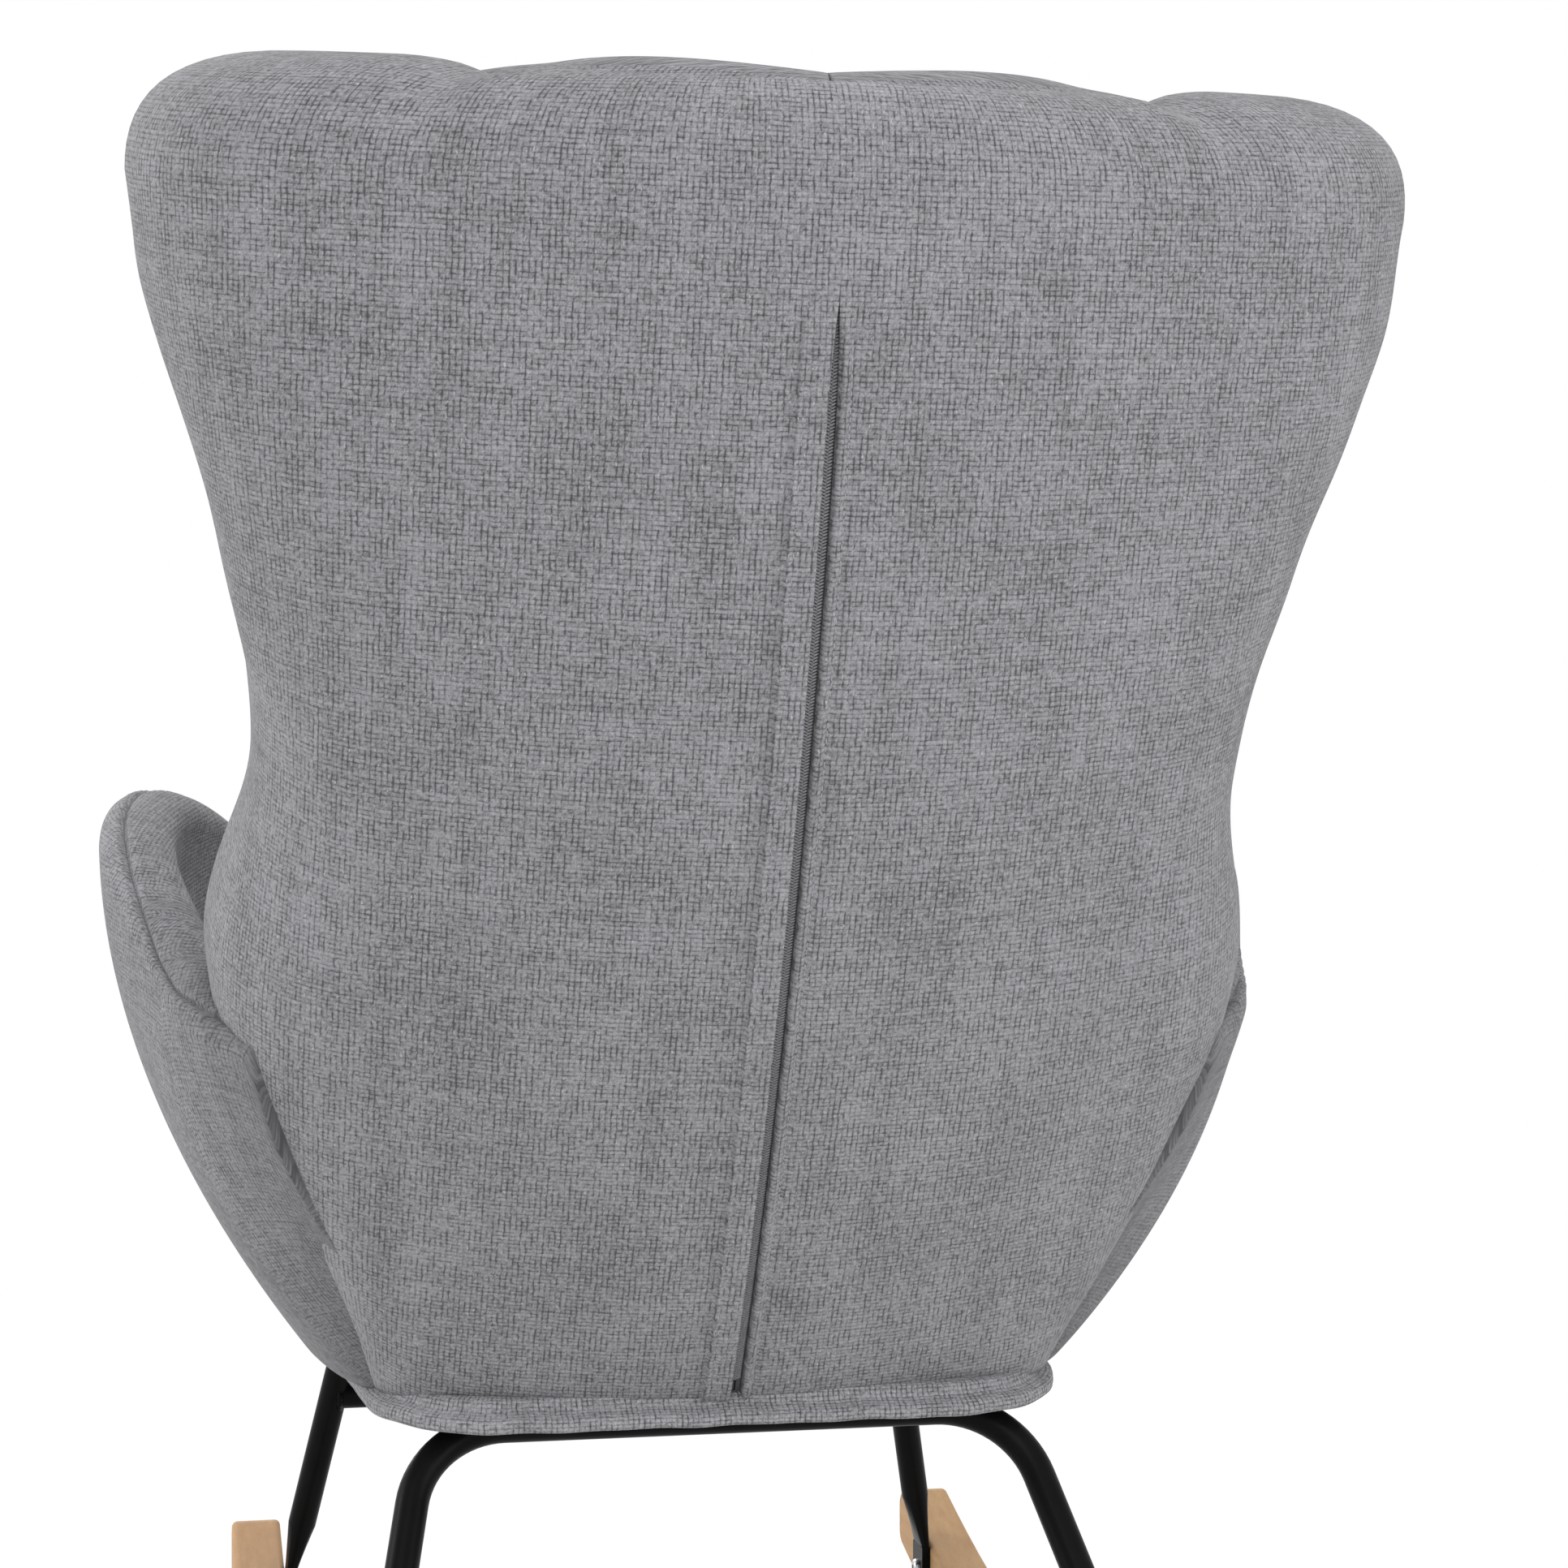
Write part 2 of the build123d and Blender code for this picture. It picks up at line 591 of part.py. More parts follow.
def arm_outline(y, foot, middle, top, thickness):
    cap = ARM_CAP * thickness
    inner_top = (top[0] - thickness, top[1] - ARM_INNER_DROP * thickness)
    inner_middle = (middle[0] - ARM_INNER_SHARE * thickness, middle[1] + ARM_INNER_RISE * thickness)
    inner_foot = (foot[0] - thickness, foot[1])
    crest = ((top[0] + inner_top[0]) / 2, (top[1] + inner_top[1]) / 2 + cap)
    return outline(
        lambda x, z: arm_point(x, y, z),
        (foot, middle, top),
        (top, crest, inner_top),
        (inner_top, inner_middle, inner_foot),
        (inner_foot, foot),
    )


def back_envelope():
    """The back's outside with a seam's clearance, closed across the front."""
    past = NOSE_ROUND * WING_PAD_END + ARM_SEAM
    wires = []
    for section, roll in back_layers():
        left = section.wall(-ARM_SEAM, 1, past)
        right = section.wall(-ARM_SEAM, -1, past)
        bridge = (left[-1][-1], right[-1][-1])
        wires.append(outline(section.place, *reverse(right), *left, bridge))
    return Solid.make_loft(wires)


def arm_post(station):
    """Foot, middle and top of a post inside an arm, at one station."""
    y, foot, middle, top, thickness = station
    shift = ARM_POST_SHARE * thickness
    base = SEAT_PLANE.to_local_coords(arm_point(0, y, foot[1]))
    floor = seat_point(foot[0] - shift, base.Y, UPHOLSTERY_FLOOR)
    return [floor] + [arm_point(x - shift, y, z) for x, z in (middle, top)]


def arm_rods(diameter):
    """Two posts and the bar that joins their tops."""
    rear = arm_post(ARM_STATIONS[ARM_POST_STATIONS[0]])
    front = arm_post(ARM_STATIONS[ARM_POST_STATIONS[-1]])
    between = arm_post(ARM_STATIONS[ARM_POST_STATIONS[1]])
    rods = rod(Edge.make_three_point_arc(*rear), diameter)
    rods += rod(Edge.make_three_point_arc(*front), diameter)
    rods += rod(Edge.make_three_point_arc(rear[2], between[2], front[2]), diameter)
    for end in (rear[2], front[2]):
        rods += Pos(end) * Sphere(diameter / 2)
    return rods


def arm_foot_spots():
    spots = []
    for index in (ARM_POST_STATIONS[0], ARM_POST_STATIONS[-1]):
        spots.append(SEAT_PLANE.to_local_coords(arm_post(ARM_STATIONS[index])[0]))
    return spots


def arm_plates(gap):
    """Foot plates under the posts, with room all round when they are cut from the padding."""
    plates = []
    for spot in arm_foot_spots():
        height = ARM_PLATE_THICKNESS + SCREW_HEAD_HEIGHT * bool(gap) + gap
        plate = Box(ARM_PLATE_WIDTH + 2 * gap, ARM_PLATE_LENGTH + 2 * gap, height)
        plates.append(SEAT_PLANE * Pos(spot.X, spot.Y, spot.Z + height / 2) * plate)
    return plates


def arm_screw_spots():
    offset = (ARM_PLATE_LENGTH - SCREW_HEAD_DIAMETER) / 2 - SCREW_EDGE
    return [spot + Vector(0, side * offset, 0) for spot in arm_foot_spots() for side in (1, -1)]


def left_arm_frame():
    frame = arm_rods(ARM_ROD_DIAMETER)
    for plate in arm_plates(0):
        frame += plate
    size = ARM_PLATE_LENGTH
    for spot in arm_foot_spots():
        frame -= SEAT_PLANE * Pos(spot.X, spot.Y, spot.Z - size / 2) * Box(size, size, size)
    for spot in arm_screw_spots():
        hole = Cylinder(SCREW_DIAMETER / 2 + BOLT_CLEARANCE, 4 * ARM_PLATE_THICKNESS)
        frame -= SEAT_PLANE * Pos(spot) * hole
    return frame


def left_arm(envelope):
    arm = Solid.make_loft([arm_outline(*station) for station in ARM_STATIONS])
    arm = above_seat(arm - envelope) - arm_rods(ARM_ROD_DIAMETER + 2 * ROD_GAP)
    for plate in arm_plates(ROD_GAP):
        arm -= plate
    return arm


# Seat base
def round_corners(face, corners, radius):
    """Rounds the corners of a flat face that lie nearest to the given points."""
    picked = []
    for corner in corners:
        picked.append(min(face.vertices(), key=lambda vertex: (Vector(vertex) - Vector(*corner)).length))
    return fillet(picked, radius)


def seat_outline(inset):
    """Plan of the seat base, widest under the arms."""
    rear = (SEAT_HALF_REAR - inset, SEAT_REAR - inset)
    middle = (SEAT_HALF_MIDDLE - inset, -SEAT_MIDDLE)
    front = (SEAT_HALF_FRONT - inset, inset - SEAT_FRONT)
    left = [rear, middle, front]
    right = [(-x, y) for x, y in left]
    face = make_face(Polyline(*left, *reversed(right), close=True))
    for index, radius in enumerate((SEAT_CORNER_REAR, SEAT_SIDE_ROUND, SEAT_CORNER_FRONT)):
        face = round_corners(face, (left[index], right[index]), radius - inset)
    return face


def seat_slab(inset, low, high):
    return Pos(0, 0, low) * extrude(seat_outline(inset), high - low)


def seat_bolt_spots():
    """Places of the four seat bolts in the seat's own plane, over the middles of the side rails."""
    spots = []
    for run in SEAT_BOLT_RUNS:
        x = RAIL_END_X + run / FRONT_CORNER_RUN * (FRONT_CORNER_X - RAIL_END_X)
        spots += [(x, -run), (-x, -run)]
    return spots


def seat_board():
    board = seat_slab(WRAP_SIDE, 0, BOARD_THICKNESS)
    for x, y in seat_bolt_spots():
        board -= Pos(x, y, BOARD_THICKNESS / 2) * Cylinder(TEE_BARREL_DIAMETER / 2, 2 * BOARD_THICKNESS)
        recess = Pos(0, 0, BOARD_THICKNESS) * Cylinder(TEE_FLANGE_DIAMETER / 2, 2 * TEE_FLANGE_THICKNESS)
        board -= Pos(x, y, 0) * recess
    for hole in screw_holes():
        board -= hole
    return SEAT_PLANE * board


def seat_wrap():
    wrap = seat_slab(0, -RIM_LIP, UPHOLSTERY_FLOOR)
    rims = wrap.faces().sort_by(Axis.Z)
    wrap = fillet(rims[0].edges() + rims[-1].edges(), RIM_ROUND)
    wrap -= seat_slab(WRAP_SIDE, 0, BOARD_THICKNESS)
    wrap -= seat_slab(RIM_LIP_WIDTH, -2 * RIM_LIP, 0)
    for hole in screw_holes():
        wrap -= hole
    return SEAT_PLANE * wrap


def dust_cover():
    sheet = seat_slab(RIM_LIP_WIDTH + SOFT_GAP, -DUST_COVER_THICKNESS, 0)
    for x, y in seat_bolt_spots():
        sheet -= Pos(x, y, 0) * Cylinder(TEE_BARREL_DIAMETER / 2, 4 * DUST_COVER_THICKNESS)
    return SEAT_PLANE * sheet


# Seat cushion
def cushion_outline(share, clear, half_side, half_nose, draw):
    """Plan of the cushion at one height: bowed front, swelling sides and a rounded rear."""
    height = UPHOLSTERY_FLOOR + SOFT_GAP + share * CUSHION_HEIGHT
    rear = spine_on_seat(height, PAD_FRONT + PAD_CROWN) - clear
    front = draw - CUSHION_FRONT
    corner = rear - CUSHION_REAR_CORNER
    half_rear = half_side * CUSHION_REAR_SHARE
    side = (half_side, (corner + front) / 2)
    return outline(
        lambda x, y: seat_point(x, y, height),
        ((half_nose, front), side, (half_rear, corner)),
        ((half_rear, corner), (0, rear), (-half_rear, corner)),
        ((-half_rear, corner), (-side[0], side[1]), (-half_nose, front)),
        ((-half_nose, front), (0, front - CUSHION_BOW), (half_nose, front)),
    )


def seat_cushion():
    return Solid.make_loft([cushion_outline(*layer) for layer in CUSHION_LAYERS])


# Steel base
def bent_path(points, radius):
    """Straight runs joined by tangent arcs."""
    edges = []
    start = points[0]
    for before, corner, after in zip(points, points[1:], points[2:]):
        inward = (before - corner).normalized()
        outward = (after - corner).normalized()
        half = radians(inward.get_angle(outward)) / 2
        setback = radius / tan(half)
        middle = (inward + outward).normalized()
        first = corner + inward * setback
        last = corner + outward * setback
        crown = corner + middle * (radius / sin(half) - radius)
        edges.append(Edge.make_line(start, first))
        edges.append(Edge.make_three_point_arc(first, crown, last))
        start = last
    edges.append(Edge.make_line(start, points[-1]))
    return Wire(edges)


def tube(path, diameter, wall):
    profile = Circle(diameter / 2) - Circle(diameter / 2 - wall)
    return sweep(Plane(origin=path @ 0, z_dir=path % 0) * profile, path)


def rocker_middle(y):
    """Height of the middle of a rocker's face at a given Y."""
    radius = ROCKER_FRONT_RADIUS if y < ROCKER_REST_Y else ROCKER_REAR_RADIUS
    return rocker_arc(radius, ROCKER_HEIGHT / 2, [y])[0][1]


class Leg:
    """A leg's line from its corner under the seat to the bolt in the rocker."""

    def __init__(self, corner, splay, rake):
        self.corner = corner
        self.fall = Vector(splay, rake, -1)
        tab_x = ROCKER_INNER_X - TAB_THICKNESS / 2
        self.drop = (tab_x - corner.X) / splay
        foot = corner + self.fall * self.drop
        self.bolt = Vector(ROCKER_INNER_X, foot.Y, rocker_middle(foot.Y))
        self.tab_top = Vector(tab_x, foot.Y, self.bolt.Z + TAB_LENGTH / 2)
        along = (corner - self.tab_top).normalized()
        self.tube_end = self.tab_top + along * FLATTEN_LENGTH
        self.along = along


def ring_of_arcs(plane, half_long, half_short, share):
    """Closed wire of four arcs: a circle when the halves are alike and share is the cosine of 45 degrees."""
    a = half_long * share
    b = half_short * share
    return outline(
        lambda x, y: plane.from_local_coords(Vector(x, y, 0)),
        ((a, -b), (half_long, 0), (a, b)),
        ((a, b), (0, half_short), (-a, b)),
        ((-a, b), (-half_long, 0), (-a, -b)),
        ((-a, -b), (0, -half_short), (a, -b)),
    )


def flattened_foot(leg):
    """The tube's pressed end: from round to a flat tab that lies on the rocker's inner face."""
    round_plane = Plane(origin=leg.tube_end, x_dir=(0, 1, 0), z_dir=leg.along)
    flat_plane = Plane(origin=leg.tab_top, x_dir=(0, 1, 0), z_dir=(0, 0, 1))
    flat = ring_of_arcs(flat_plane, TAB_WIDTH / 2, TAB_THICKNESS / 2, TAB_FULLNESS)
    taper = Solid.make_loft([ring_of_arcs(round_plane, TUBE_RADIUS, TUBE_RADIUS, cos(pi / 4)), flat])
    tab = Box(TAB_THICKNESS, TAB_WIDTH, TAB_LENGTH)
    tab = fillet(tab.edges().filter_by(Axis.X).group_by(Axis.Z)[0], TAB_END_ROUND)
    tab = Pos(leg.tab_top - Vector(0, 0, TAB_LENGTH / 2)) * tab
    hole = Cylinder(BOLT_DIAMETER / 2 + BOLT_CLEARANCE, 6 * TAB_THICKNESS)
    return taper + tab - Pos(leg.bolt) * Rot(0, 90, 0) * hole


def rear_leg():
    return Leg(seat_point(REAR_CORNER_X, 0, -TUBE_DROP), REAR_SPLAY, REAR_RAKE)


def front_leg():
    return Leg(seat_point(FRONT_CORNER_X, -FRONT_CORNER_RUN, -TUBE_DROP), FRONT_SPLAY, -FRONT_RAKE)


def seat_bolt_holes():
    holes = []
    for x, y in seat_bolt_spots():
        hole = Cylinder(BOLT_DIAMETER / 2 + BOLT_CLEARANCE, 4 * TUBE_DIAMETER)
        holes.append(SEAT_PLANE * Pos(x, y, -TUBE_DROP) * hole)
    return holes


def rear_leg_frame():
    leg = rear_leg()
    left = [leg.tube_end, leg.corner]
    right = [Vector(-spot.X, spot.Y, spot.Z) for spot in reversed(left)]
    path = bent_path(left + right, BEND_RADIUS)
    foot = flattened_foot(leg)
    return tube(path, TUBE_DIAMETER, TUBE_WALL) + foot + mirrored(foot)


def left_side_tube():
    leg = front_leg()
    rail_end = seat_point(RAIL_END_X, 0, -TUBE_DROP)
    path = bent_path([leg.tube_end, leg.corner, rail_end], BEND_RADIUS)
    piece = tube(path, TUBE_DIAMETER, TUBE_WALL) + flattened_foot(leg)
    for hole in seat_bolt_holes():
        piece -= hole
    cross = SEAT_PLANE * Pos(0, 0, -TUBE_DROP) * Rot(0, 90, 0)
    piece -= cross * Cylinder(TUBE_RADIUS, 2 * REAR_CORNER_X)
    return piece.solids().sort_by(SortBy.VOLUME)[-1]


def front_stretcher():
    """Cross tube between the front legs, with its ends shaped to sit on them."""
    leg = front_leg()
    spot = leg.corner + leg.fall * (leg.corner.Z - STRETCHER_Z)
    ring = Circle(TUBE_RADIUS) - Circle(TUBE_RADIUS - TUBE_WALL)
    half = extrude(Plane(origin=(0, spot.Y, spot.Z), z_dir=(1, 0, 0)) * ring, spot.X)
    line = Wire([Edge.make_line(leg.corner, leg.tube_end)])
    half = (half - rod(line, TUBE_DIAMETER)).solids().sort_by(SortBy.VOLUME)[-1]
    return half + mirrored(half)


# Rockers
def rocker_arc(radius, height, spots):
    """Points of an arc over the rest point, at a height above the rocker's lower face."""
    return [(y, radius - sqrt((radius - height) ** 2 - (y - ROCKER_REST_Y) ** 2)) for y in spots]


def rocker_profile():
    front = -ROCKER_HALF_LENGTH
    rear = ROCKER_HALF_LENGTH
    front_spots = (front, (front + ROCKER_REST_Y) / 2, ROCKER_REST_Y)
    rear_spots = (ROCKER_REST_Y, (rear + ROCKER_REST_Y) / 2, rear)
    lower_front = rocker_arc(ROCKER_FRONT_RADIUS, 0, front_spots)
    lower_rear = rocker_arc(ROCKER_REAR_RADIUS, 0, rear_spots)
    upper_rear = rocker_arc(ROCKER_REAR_RADIUS, ROCKER_HEIGHT, reversed(rear_spots))
    upper_front = rocker_arc(ROCKER_FRONT_RADIUS, ROCKER_HEIGHT, reversed(front_spots))
    return Face(outline(
        lambda y, z: Vector(ROCKER_INNER_X, y, z),
        lower_front,
        lower_rear,
        (lower_rear[-1], upper_rear[0]),
        upper_rear,
        upper_front,
        (upper_front[-1], lower_front[0]),
    ))


def left_rocker():
    bar = extrude(rocker_profile(), ROCKER_THICKNESS, dir=(1, 0, 0))
    ends = bar.edges().filter_by(Axis.X).group_by(Axis.Y)
    bar = fillet(ends[0] + ends[-1], ROCKER_END_ROUND)
    sides = bar.faces().sort_by(Axis.X)
    bar = fillet(sides[0].edges() + sides[-1].edges(), ROCKER_EDGE_ROUND)
    for leg in (rear_leg(), front_leg()):
        bore = Cylinder(INSERT_DIAMETER / 2, INSERT_LENGTH)
        bar -= Pos(leg.bolt + Vector(INSERT_LENGTH / 2, 0, 0)) * Rot(0, 90, 0) * bore
    return bar


def button_bolt(length):
    """Bolt along +Z with its rounded head below the origin."""
    head = Pos(0, 0, -HEAD_HEIGHT / 2) * Cylinder(HEAD_DIAMETER / 2, HEAD_HEIGHT)
    head = fillet(head.faces().sort_by(Axis.Z)[0].edges(), HEAD_ROUND)
    socket = extrude(RegularPolygon(SOCKET_SIZE / 2, 6, major_radius=False), SOCKET_DEPTH)
    head -= Pos(0, 0, -HEAD_HEIGHT) * socket
    return head + Pos(0, 0, length / 2) * Cylinder(BOLT_DIAMETER / 2, length)


def rocker_bolts():
    bolts = []
    length = TAB_THICKNESS + INSERT_LENGTH - BOLT_SHORTFALL
    for leg in (rear_leg(), front_leg()):
        seat = Pos(leg.bolt - Vector(TAB_THICKNESS, 0, 0)) * Rot(0, 90, 0)
        bolt = seat * button_bolt(length)
        bolts += [bolt, mirrored(bolt)]
    return Compound(bolts)


def rocker_inserts():
    sleeve = Cylinder(INSERT_DIAMETER / 2, INSERT_LENGTH)
    sleeve -= Cylinder(BOLT_DIAMETER / 2 + INSERT_CLEARANCE, INSERT_LENGTH)
    sleeves = []
    for leg in (rear_leg(), front_leg()):
        insert = Pos(leg.bolt + Vector(INSERT_LENGTH / 2, 0, 0)) * Rot(0, 90, 0) * sleeve
        sleeves += [insert, mirrored(insert)]
    return Compound(sleeves)


def seat_bolts():
    length = TUBE_DIAMETER + DUST_COVER_THICKNESS + BOARD_THICKNESS - BOLT_SHORTFALL
    bolts = []
    for x, y in seat_bolt_spots():
        bolts.append(SEAT_PLANE * Pos(x, y, -TUBE_DROP - TUBE_RADIUS) * button_bolt(length))
    return Compound(bolts)


def tee_nuts():
    barrel = Cylinder(TEE_BARREL_DIAMETER / 2, BOARD_THICKNESS)
    flange = Pos(0, 0, (BOARD_THICKNESS - TEE_FLANGE_THICKNESS) / 2) * Cylinder(
        TEE_FLANGE_DIAMETER / 2, TEE_FLANGE_THICKNESS
    )
    nut = barrel + flange - Cylinder(BOLT_DIAMETER / 2 + INSERT_CLEARANCE, 2 * BOARD_THICKNESS)
    nuts = []
    for x, y in seat_bolt_spots():
        nuts.append(SEAT_PLANE * Pos(x, y, BOARD_THICKNESS / 2) * nut)
    return Compound(nuts)


def build():
    envelope = back_envelope()
    arm = left_arm(envelope)
    arm_frame = left_arm_frame()
    side_tube = left_side_tube()
    rocker = left_rocker()
    pieces = {
        "rear_cover": rear_cover(),
        "left_middle_channel": middle_channel(1),
        "right_middle_channel": middle_channel(-1),
        "left_wing_channel": wing_channel(1),
        "right_wing_channel": wing_channel(-1),
        "back_frame": back_frame(),
        "back_webbing": back_webbing(),
        "back_screws": screw_set(back_screw_spots(), FOOT_THICKNESS),
        "left_arm_frame": arm_frame,
        "right_arm_frame": mirrored(arm_frame),
        "arm_screws": screw_set(both_sides(arm_screw_spots()), ARM_PLATE_THICKNESS),
        "left_arm": arm,
        "right_arm": mirrored(arm),
        "seat_wrap": seat_wrap(),
        "seat_board": seat_board(),
        "dust_cover": dust_cover(),
        "seat_cushion": seat_cushion(),
        "rear_leg_frame": rear_leg_frame(),
        "left_side_tube": side_tube,
        "right_side_tube": mirrored(side_tube),
        "front_stretcher": front_stretcher(),
        "left_rocker": rocker,
        "right_rocker": mirrored(rocker),
        "rocker_bolts": rocker_bolts(),
        "rocker_inserts": rocker_inserts(),
        "seat_bolts": seat_bolts(),
        "tee_nuts": tee_nuts(),
    }
    pieces.update(zip_pieces())
    return pieces


os.makedirs("parts", exist_ok=True)
for node, piece in build().items():
    export_step(piece, f"parts/{node}.step")
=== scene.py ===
from math import cos, pi, radians, sin

import bmesh
import bpy
import numpy as np
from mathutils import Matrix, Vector


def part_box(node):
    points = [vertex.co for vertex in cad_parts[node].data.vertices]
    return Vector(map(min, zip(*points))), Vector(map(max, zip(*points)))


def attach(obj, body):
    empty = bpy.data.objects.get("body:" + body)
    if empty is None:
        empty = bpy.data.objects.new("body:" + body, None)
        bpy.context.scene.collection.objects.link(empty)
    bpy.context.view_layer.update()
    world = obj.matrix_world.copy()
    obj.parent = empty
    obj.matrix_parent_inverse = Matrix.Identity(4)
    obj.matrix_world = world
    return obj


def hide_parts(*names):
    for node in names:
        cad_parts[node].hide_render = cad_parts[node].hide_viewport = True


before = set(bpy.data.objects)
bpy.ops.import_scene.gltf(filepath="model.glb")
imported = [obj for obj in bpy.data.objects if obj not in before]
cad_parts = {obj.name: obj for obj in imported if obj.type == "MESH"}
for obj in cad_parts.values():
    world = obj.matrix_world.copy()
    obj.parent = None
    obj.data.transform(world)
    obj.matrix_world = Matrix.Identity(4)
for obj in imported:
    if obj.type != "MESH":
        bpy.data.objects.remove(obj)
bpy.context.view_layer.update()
CHAIR = "chair"

# Metres throughout, +Z up, the sitter faces -Y.
# Spine of the back: an arc about a line parallel to X, measured in degrees from the seat seam
SPINE_RADIUS = 1.975
SPINE_Y = -1.5295
SPINE_Z = 1.391
SPINE_SEAM = -34.0
TOP_TURN = 21.9
CORNER_DRAW = 0.056         # how far the top corners draw in
CORNER_POWER = 1.5
NOSE_DRAW = 0.034
CREST_ROLL = 0.028          # how far the top edge rolls forwards
# Degrees along the spine, half width, depth of the wing, radius of its bend, run past the bend
BACK_STATIONS = np.array([
    (-3.0, 0.186, 0.062, 0.052, 0.008),
    (0.0, 0.215, 0.078, 0.062, 0.012),
    (3.4, 0.269, 0.114, 0.086, 0.024),
    (6.6, 0.297, 0.132, 0.100, 0.032),
    (10.3, 0.2745, 0.130, 0.100, 0.036),
    (14.1, 0.2935, 0.134, 0.104, 0.044),
    (18.0, 0.332, 0.143, 0.110, 0.048),
    (20.0, 0.341, 0.148, 0.110, 0.044),
])
LOWEST_TURN = BACK_STATIONS[0, 0]
PLAIN_TURN = BACK_STATIONS[-1, 0]   # the top edge rolls over above this angle
FOOT_SEARCH = 14.0          # degrees in which a piece's foot is looked for
FOOT_ROUNDS = 40
COVER_THICKNESS = 0.014
PAD_BACK = 0.038            # depth of the channels' rear faces
PAD_FRONT = 0.078           # and of their front faces
CHANNEL_SPLIT = 0.78        # share of the rear wall, up to its bend, that a middle channel takes

# Zip in the rear panel
ZIP_FOOT = 0.25
ZIP_TOP = 18.75
SLOT_WIDTH = 0.006
SLOT_TAPER = 0.75           # degrees in which the slot opens below its top
FLAP_WIDTH = 0.0165
FLAP_RAISE = 0.0026

# Seat base plane, tilted up towards the front
SEAT_Y = 0.070
SEAT_Z = 0.2785
SEAT_TILT = radians(5.0)
SEAT_FLOOR = 0.0055         # the back and arms stand this high over the board's underside

# The camera of the photograph, level; the photograph's frame was square, but the render's frame is not set
# here
CAMERA_SPOT = (0.344, 1.890, 0.637)
CAMERA_YAW = radians(168.2)
CAMERA_LENS = 73.0          # millimetres, as the sensor's width
CAMERA_SENSOR = 36.0

scene = bpy.context.scene


# Measures
def smooth_step(value, low, high):
    """Smooth rise from 0 to 1 between two values."""
    t = np.clip((value - low) / (high - low), 0.0, 1.0)
    return t * t * (3 - 2 * t)


def bell(distance, width):
    """1 at a place, falling smoothly to 0 beyond a width."""
    return np.exp(-(distance / width) ** 2)


def unit(vectors):
    return vectors / np.linalg.norm(vectors, axis=-1, keepdims=True)


def running_length(points, axis=0):
    """Length along points from the first one, down the rows or across the columns."""
    steps = np.linalg.norm(np.diff(points, axis=axis), axis=-1)
    return np.cumsum(np.concatenate([0 * np.take(steps, [0], axis), steps], axis), axis)


# The back's form
def back_sizes(turn):
    """Half width, wing depth, bend and run-on at each angle, on smooth curves through the stations."""
    rows = BACK_STATIONS
    turn = np.asarray(turn, float)
    angles = rows[:, 0]
    before = np.vstack([rows[:1], rows[:-1]])
    after = np.vstack([rows[1:], rows[-1:]])
    slopes = (after - before) / (after[:, :1] - before[:, :1])
    index = np.clip(np.searchsorted(angles, turn, side="right") - 1, 0, len(rows) - 2)
    low, high = rows[index], rows[index + 1]
    span = (high[..., :1] - low[..., :1])
    t = np.clip((turn[..., None] - low[..., :1]) / span, -0.5, 1.0)
    rise = high - low
    bend = (slopes[index] * span - rise) * (1 - t) - (slopes[index + 1] * span - rise) * t
    sizes = (low + rise * t + t * (1 - t) * bend)[..., 1:]
    roll = top_roll(turn)
    sizes[..., 0] -= CORNER_DRAW * roll ** CORNER_POWER
    sizes[..., 3] -= NOSE_DRAW * roll
    return [sizes[..., column] for column in range(4)]


def top_roll(turn):
    """How far the top edge has rolled over, from 0 below it to 1 at its crest."""
    step = np.clip((np.asarray(turn, float) - PLAIN_TURN) / (TOP_TURN - PLAIN_TURN), 0.0, 1.0)
    return 1 - np.sqrt(1 - step ** 2)


def back_section(turn):
    """Sizes of the back at each angle, the angle at which its wall meets the bend, and the wall's radius."""
    half, wing, bend, run = back_sizes(turn)
    join = 2 * np.arctan((wing - bend) / (half - bend))
    middle = bend + (half - bend) / np.sin(join)
    return half, wing, bend, run, join, middle


def back_lengths(turn):
    """Lengths along the rear wall from the middle to the bend, to the wing's side and to its nose."""
    _, _, bend, run, join, middle = back_section(turn)
    to_bend = middle * join
    to_side = to_bend + bend * (pi / 2 - join)
    return to_bend, to_side, to_side + run


def spine_point(turn, x, depth):
    """Point at an angle along the spine, a distance across and a depth below its arc."""
    angle = np.radians(SPINE_SEAM + turn)
    reach = SPINE_RADIUS - depth
    y = SPINE_Y + reach * np.cos(angle)
    z = SPINE_Z + reach * np.sin(angle)
    return np.stack(np.broadcast_arrays(x, y, z), -1)


def spine_place(spots):
    """Angle along the spine and depth below its arc of points."""
    y, z = spots[..., 1] - SPINE_Y, spots[..., 2] - SPINE_Z
    return np.degrees(np.arctan2(z, y)) - SPINE_SEAM, SPINE_RADIUS - np.hypot(y, z)


def wall_spot(turn, along, depth):
    """X and depth of a layer of the back, at a length along the rear wall from the middle line."""
    half, wing, bend, _, join, middle = back_section(turn)
    to_bend, to_side, _ = back_lengths(turn)
    length = np.abs(along)
    on_wall = length < to_bend
    flat = np.minimum(length / middle, join)
    curve = np.clip(join + (length - to_bend) / bend, join, pi / 2)
    x = np.where(on_wall, (middle - depth) * np.sin(flat), half - bend + (bend - depth) * np.sin(curve))
    wall_deep = middle - (middle - depth) * np.cos(flat)
    bend_deep = wing - (bend - depth) * np.cos(curve)
    deep = np.where(on_wall, wall_deep, bend_deep) + np.maximum(length - to_side, 0)
    return np.sign(along) * x, deep


def wall_point(turn, along, depth, lift=0.0):
    """Point of a layer of the back, raised along the spine by some degrees."""
    return spine_point(turn + lift, *wall_spot(turn, along, depth))


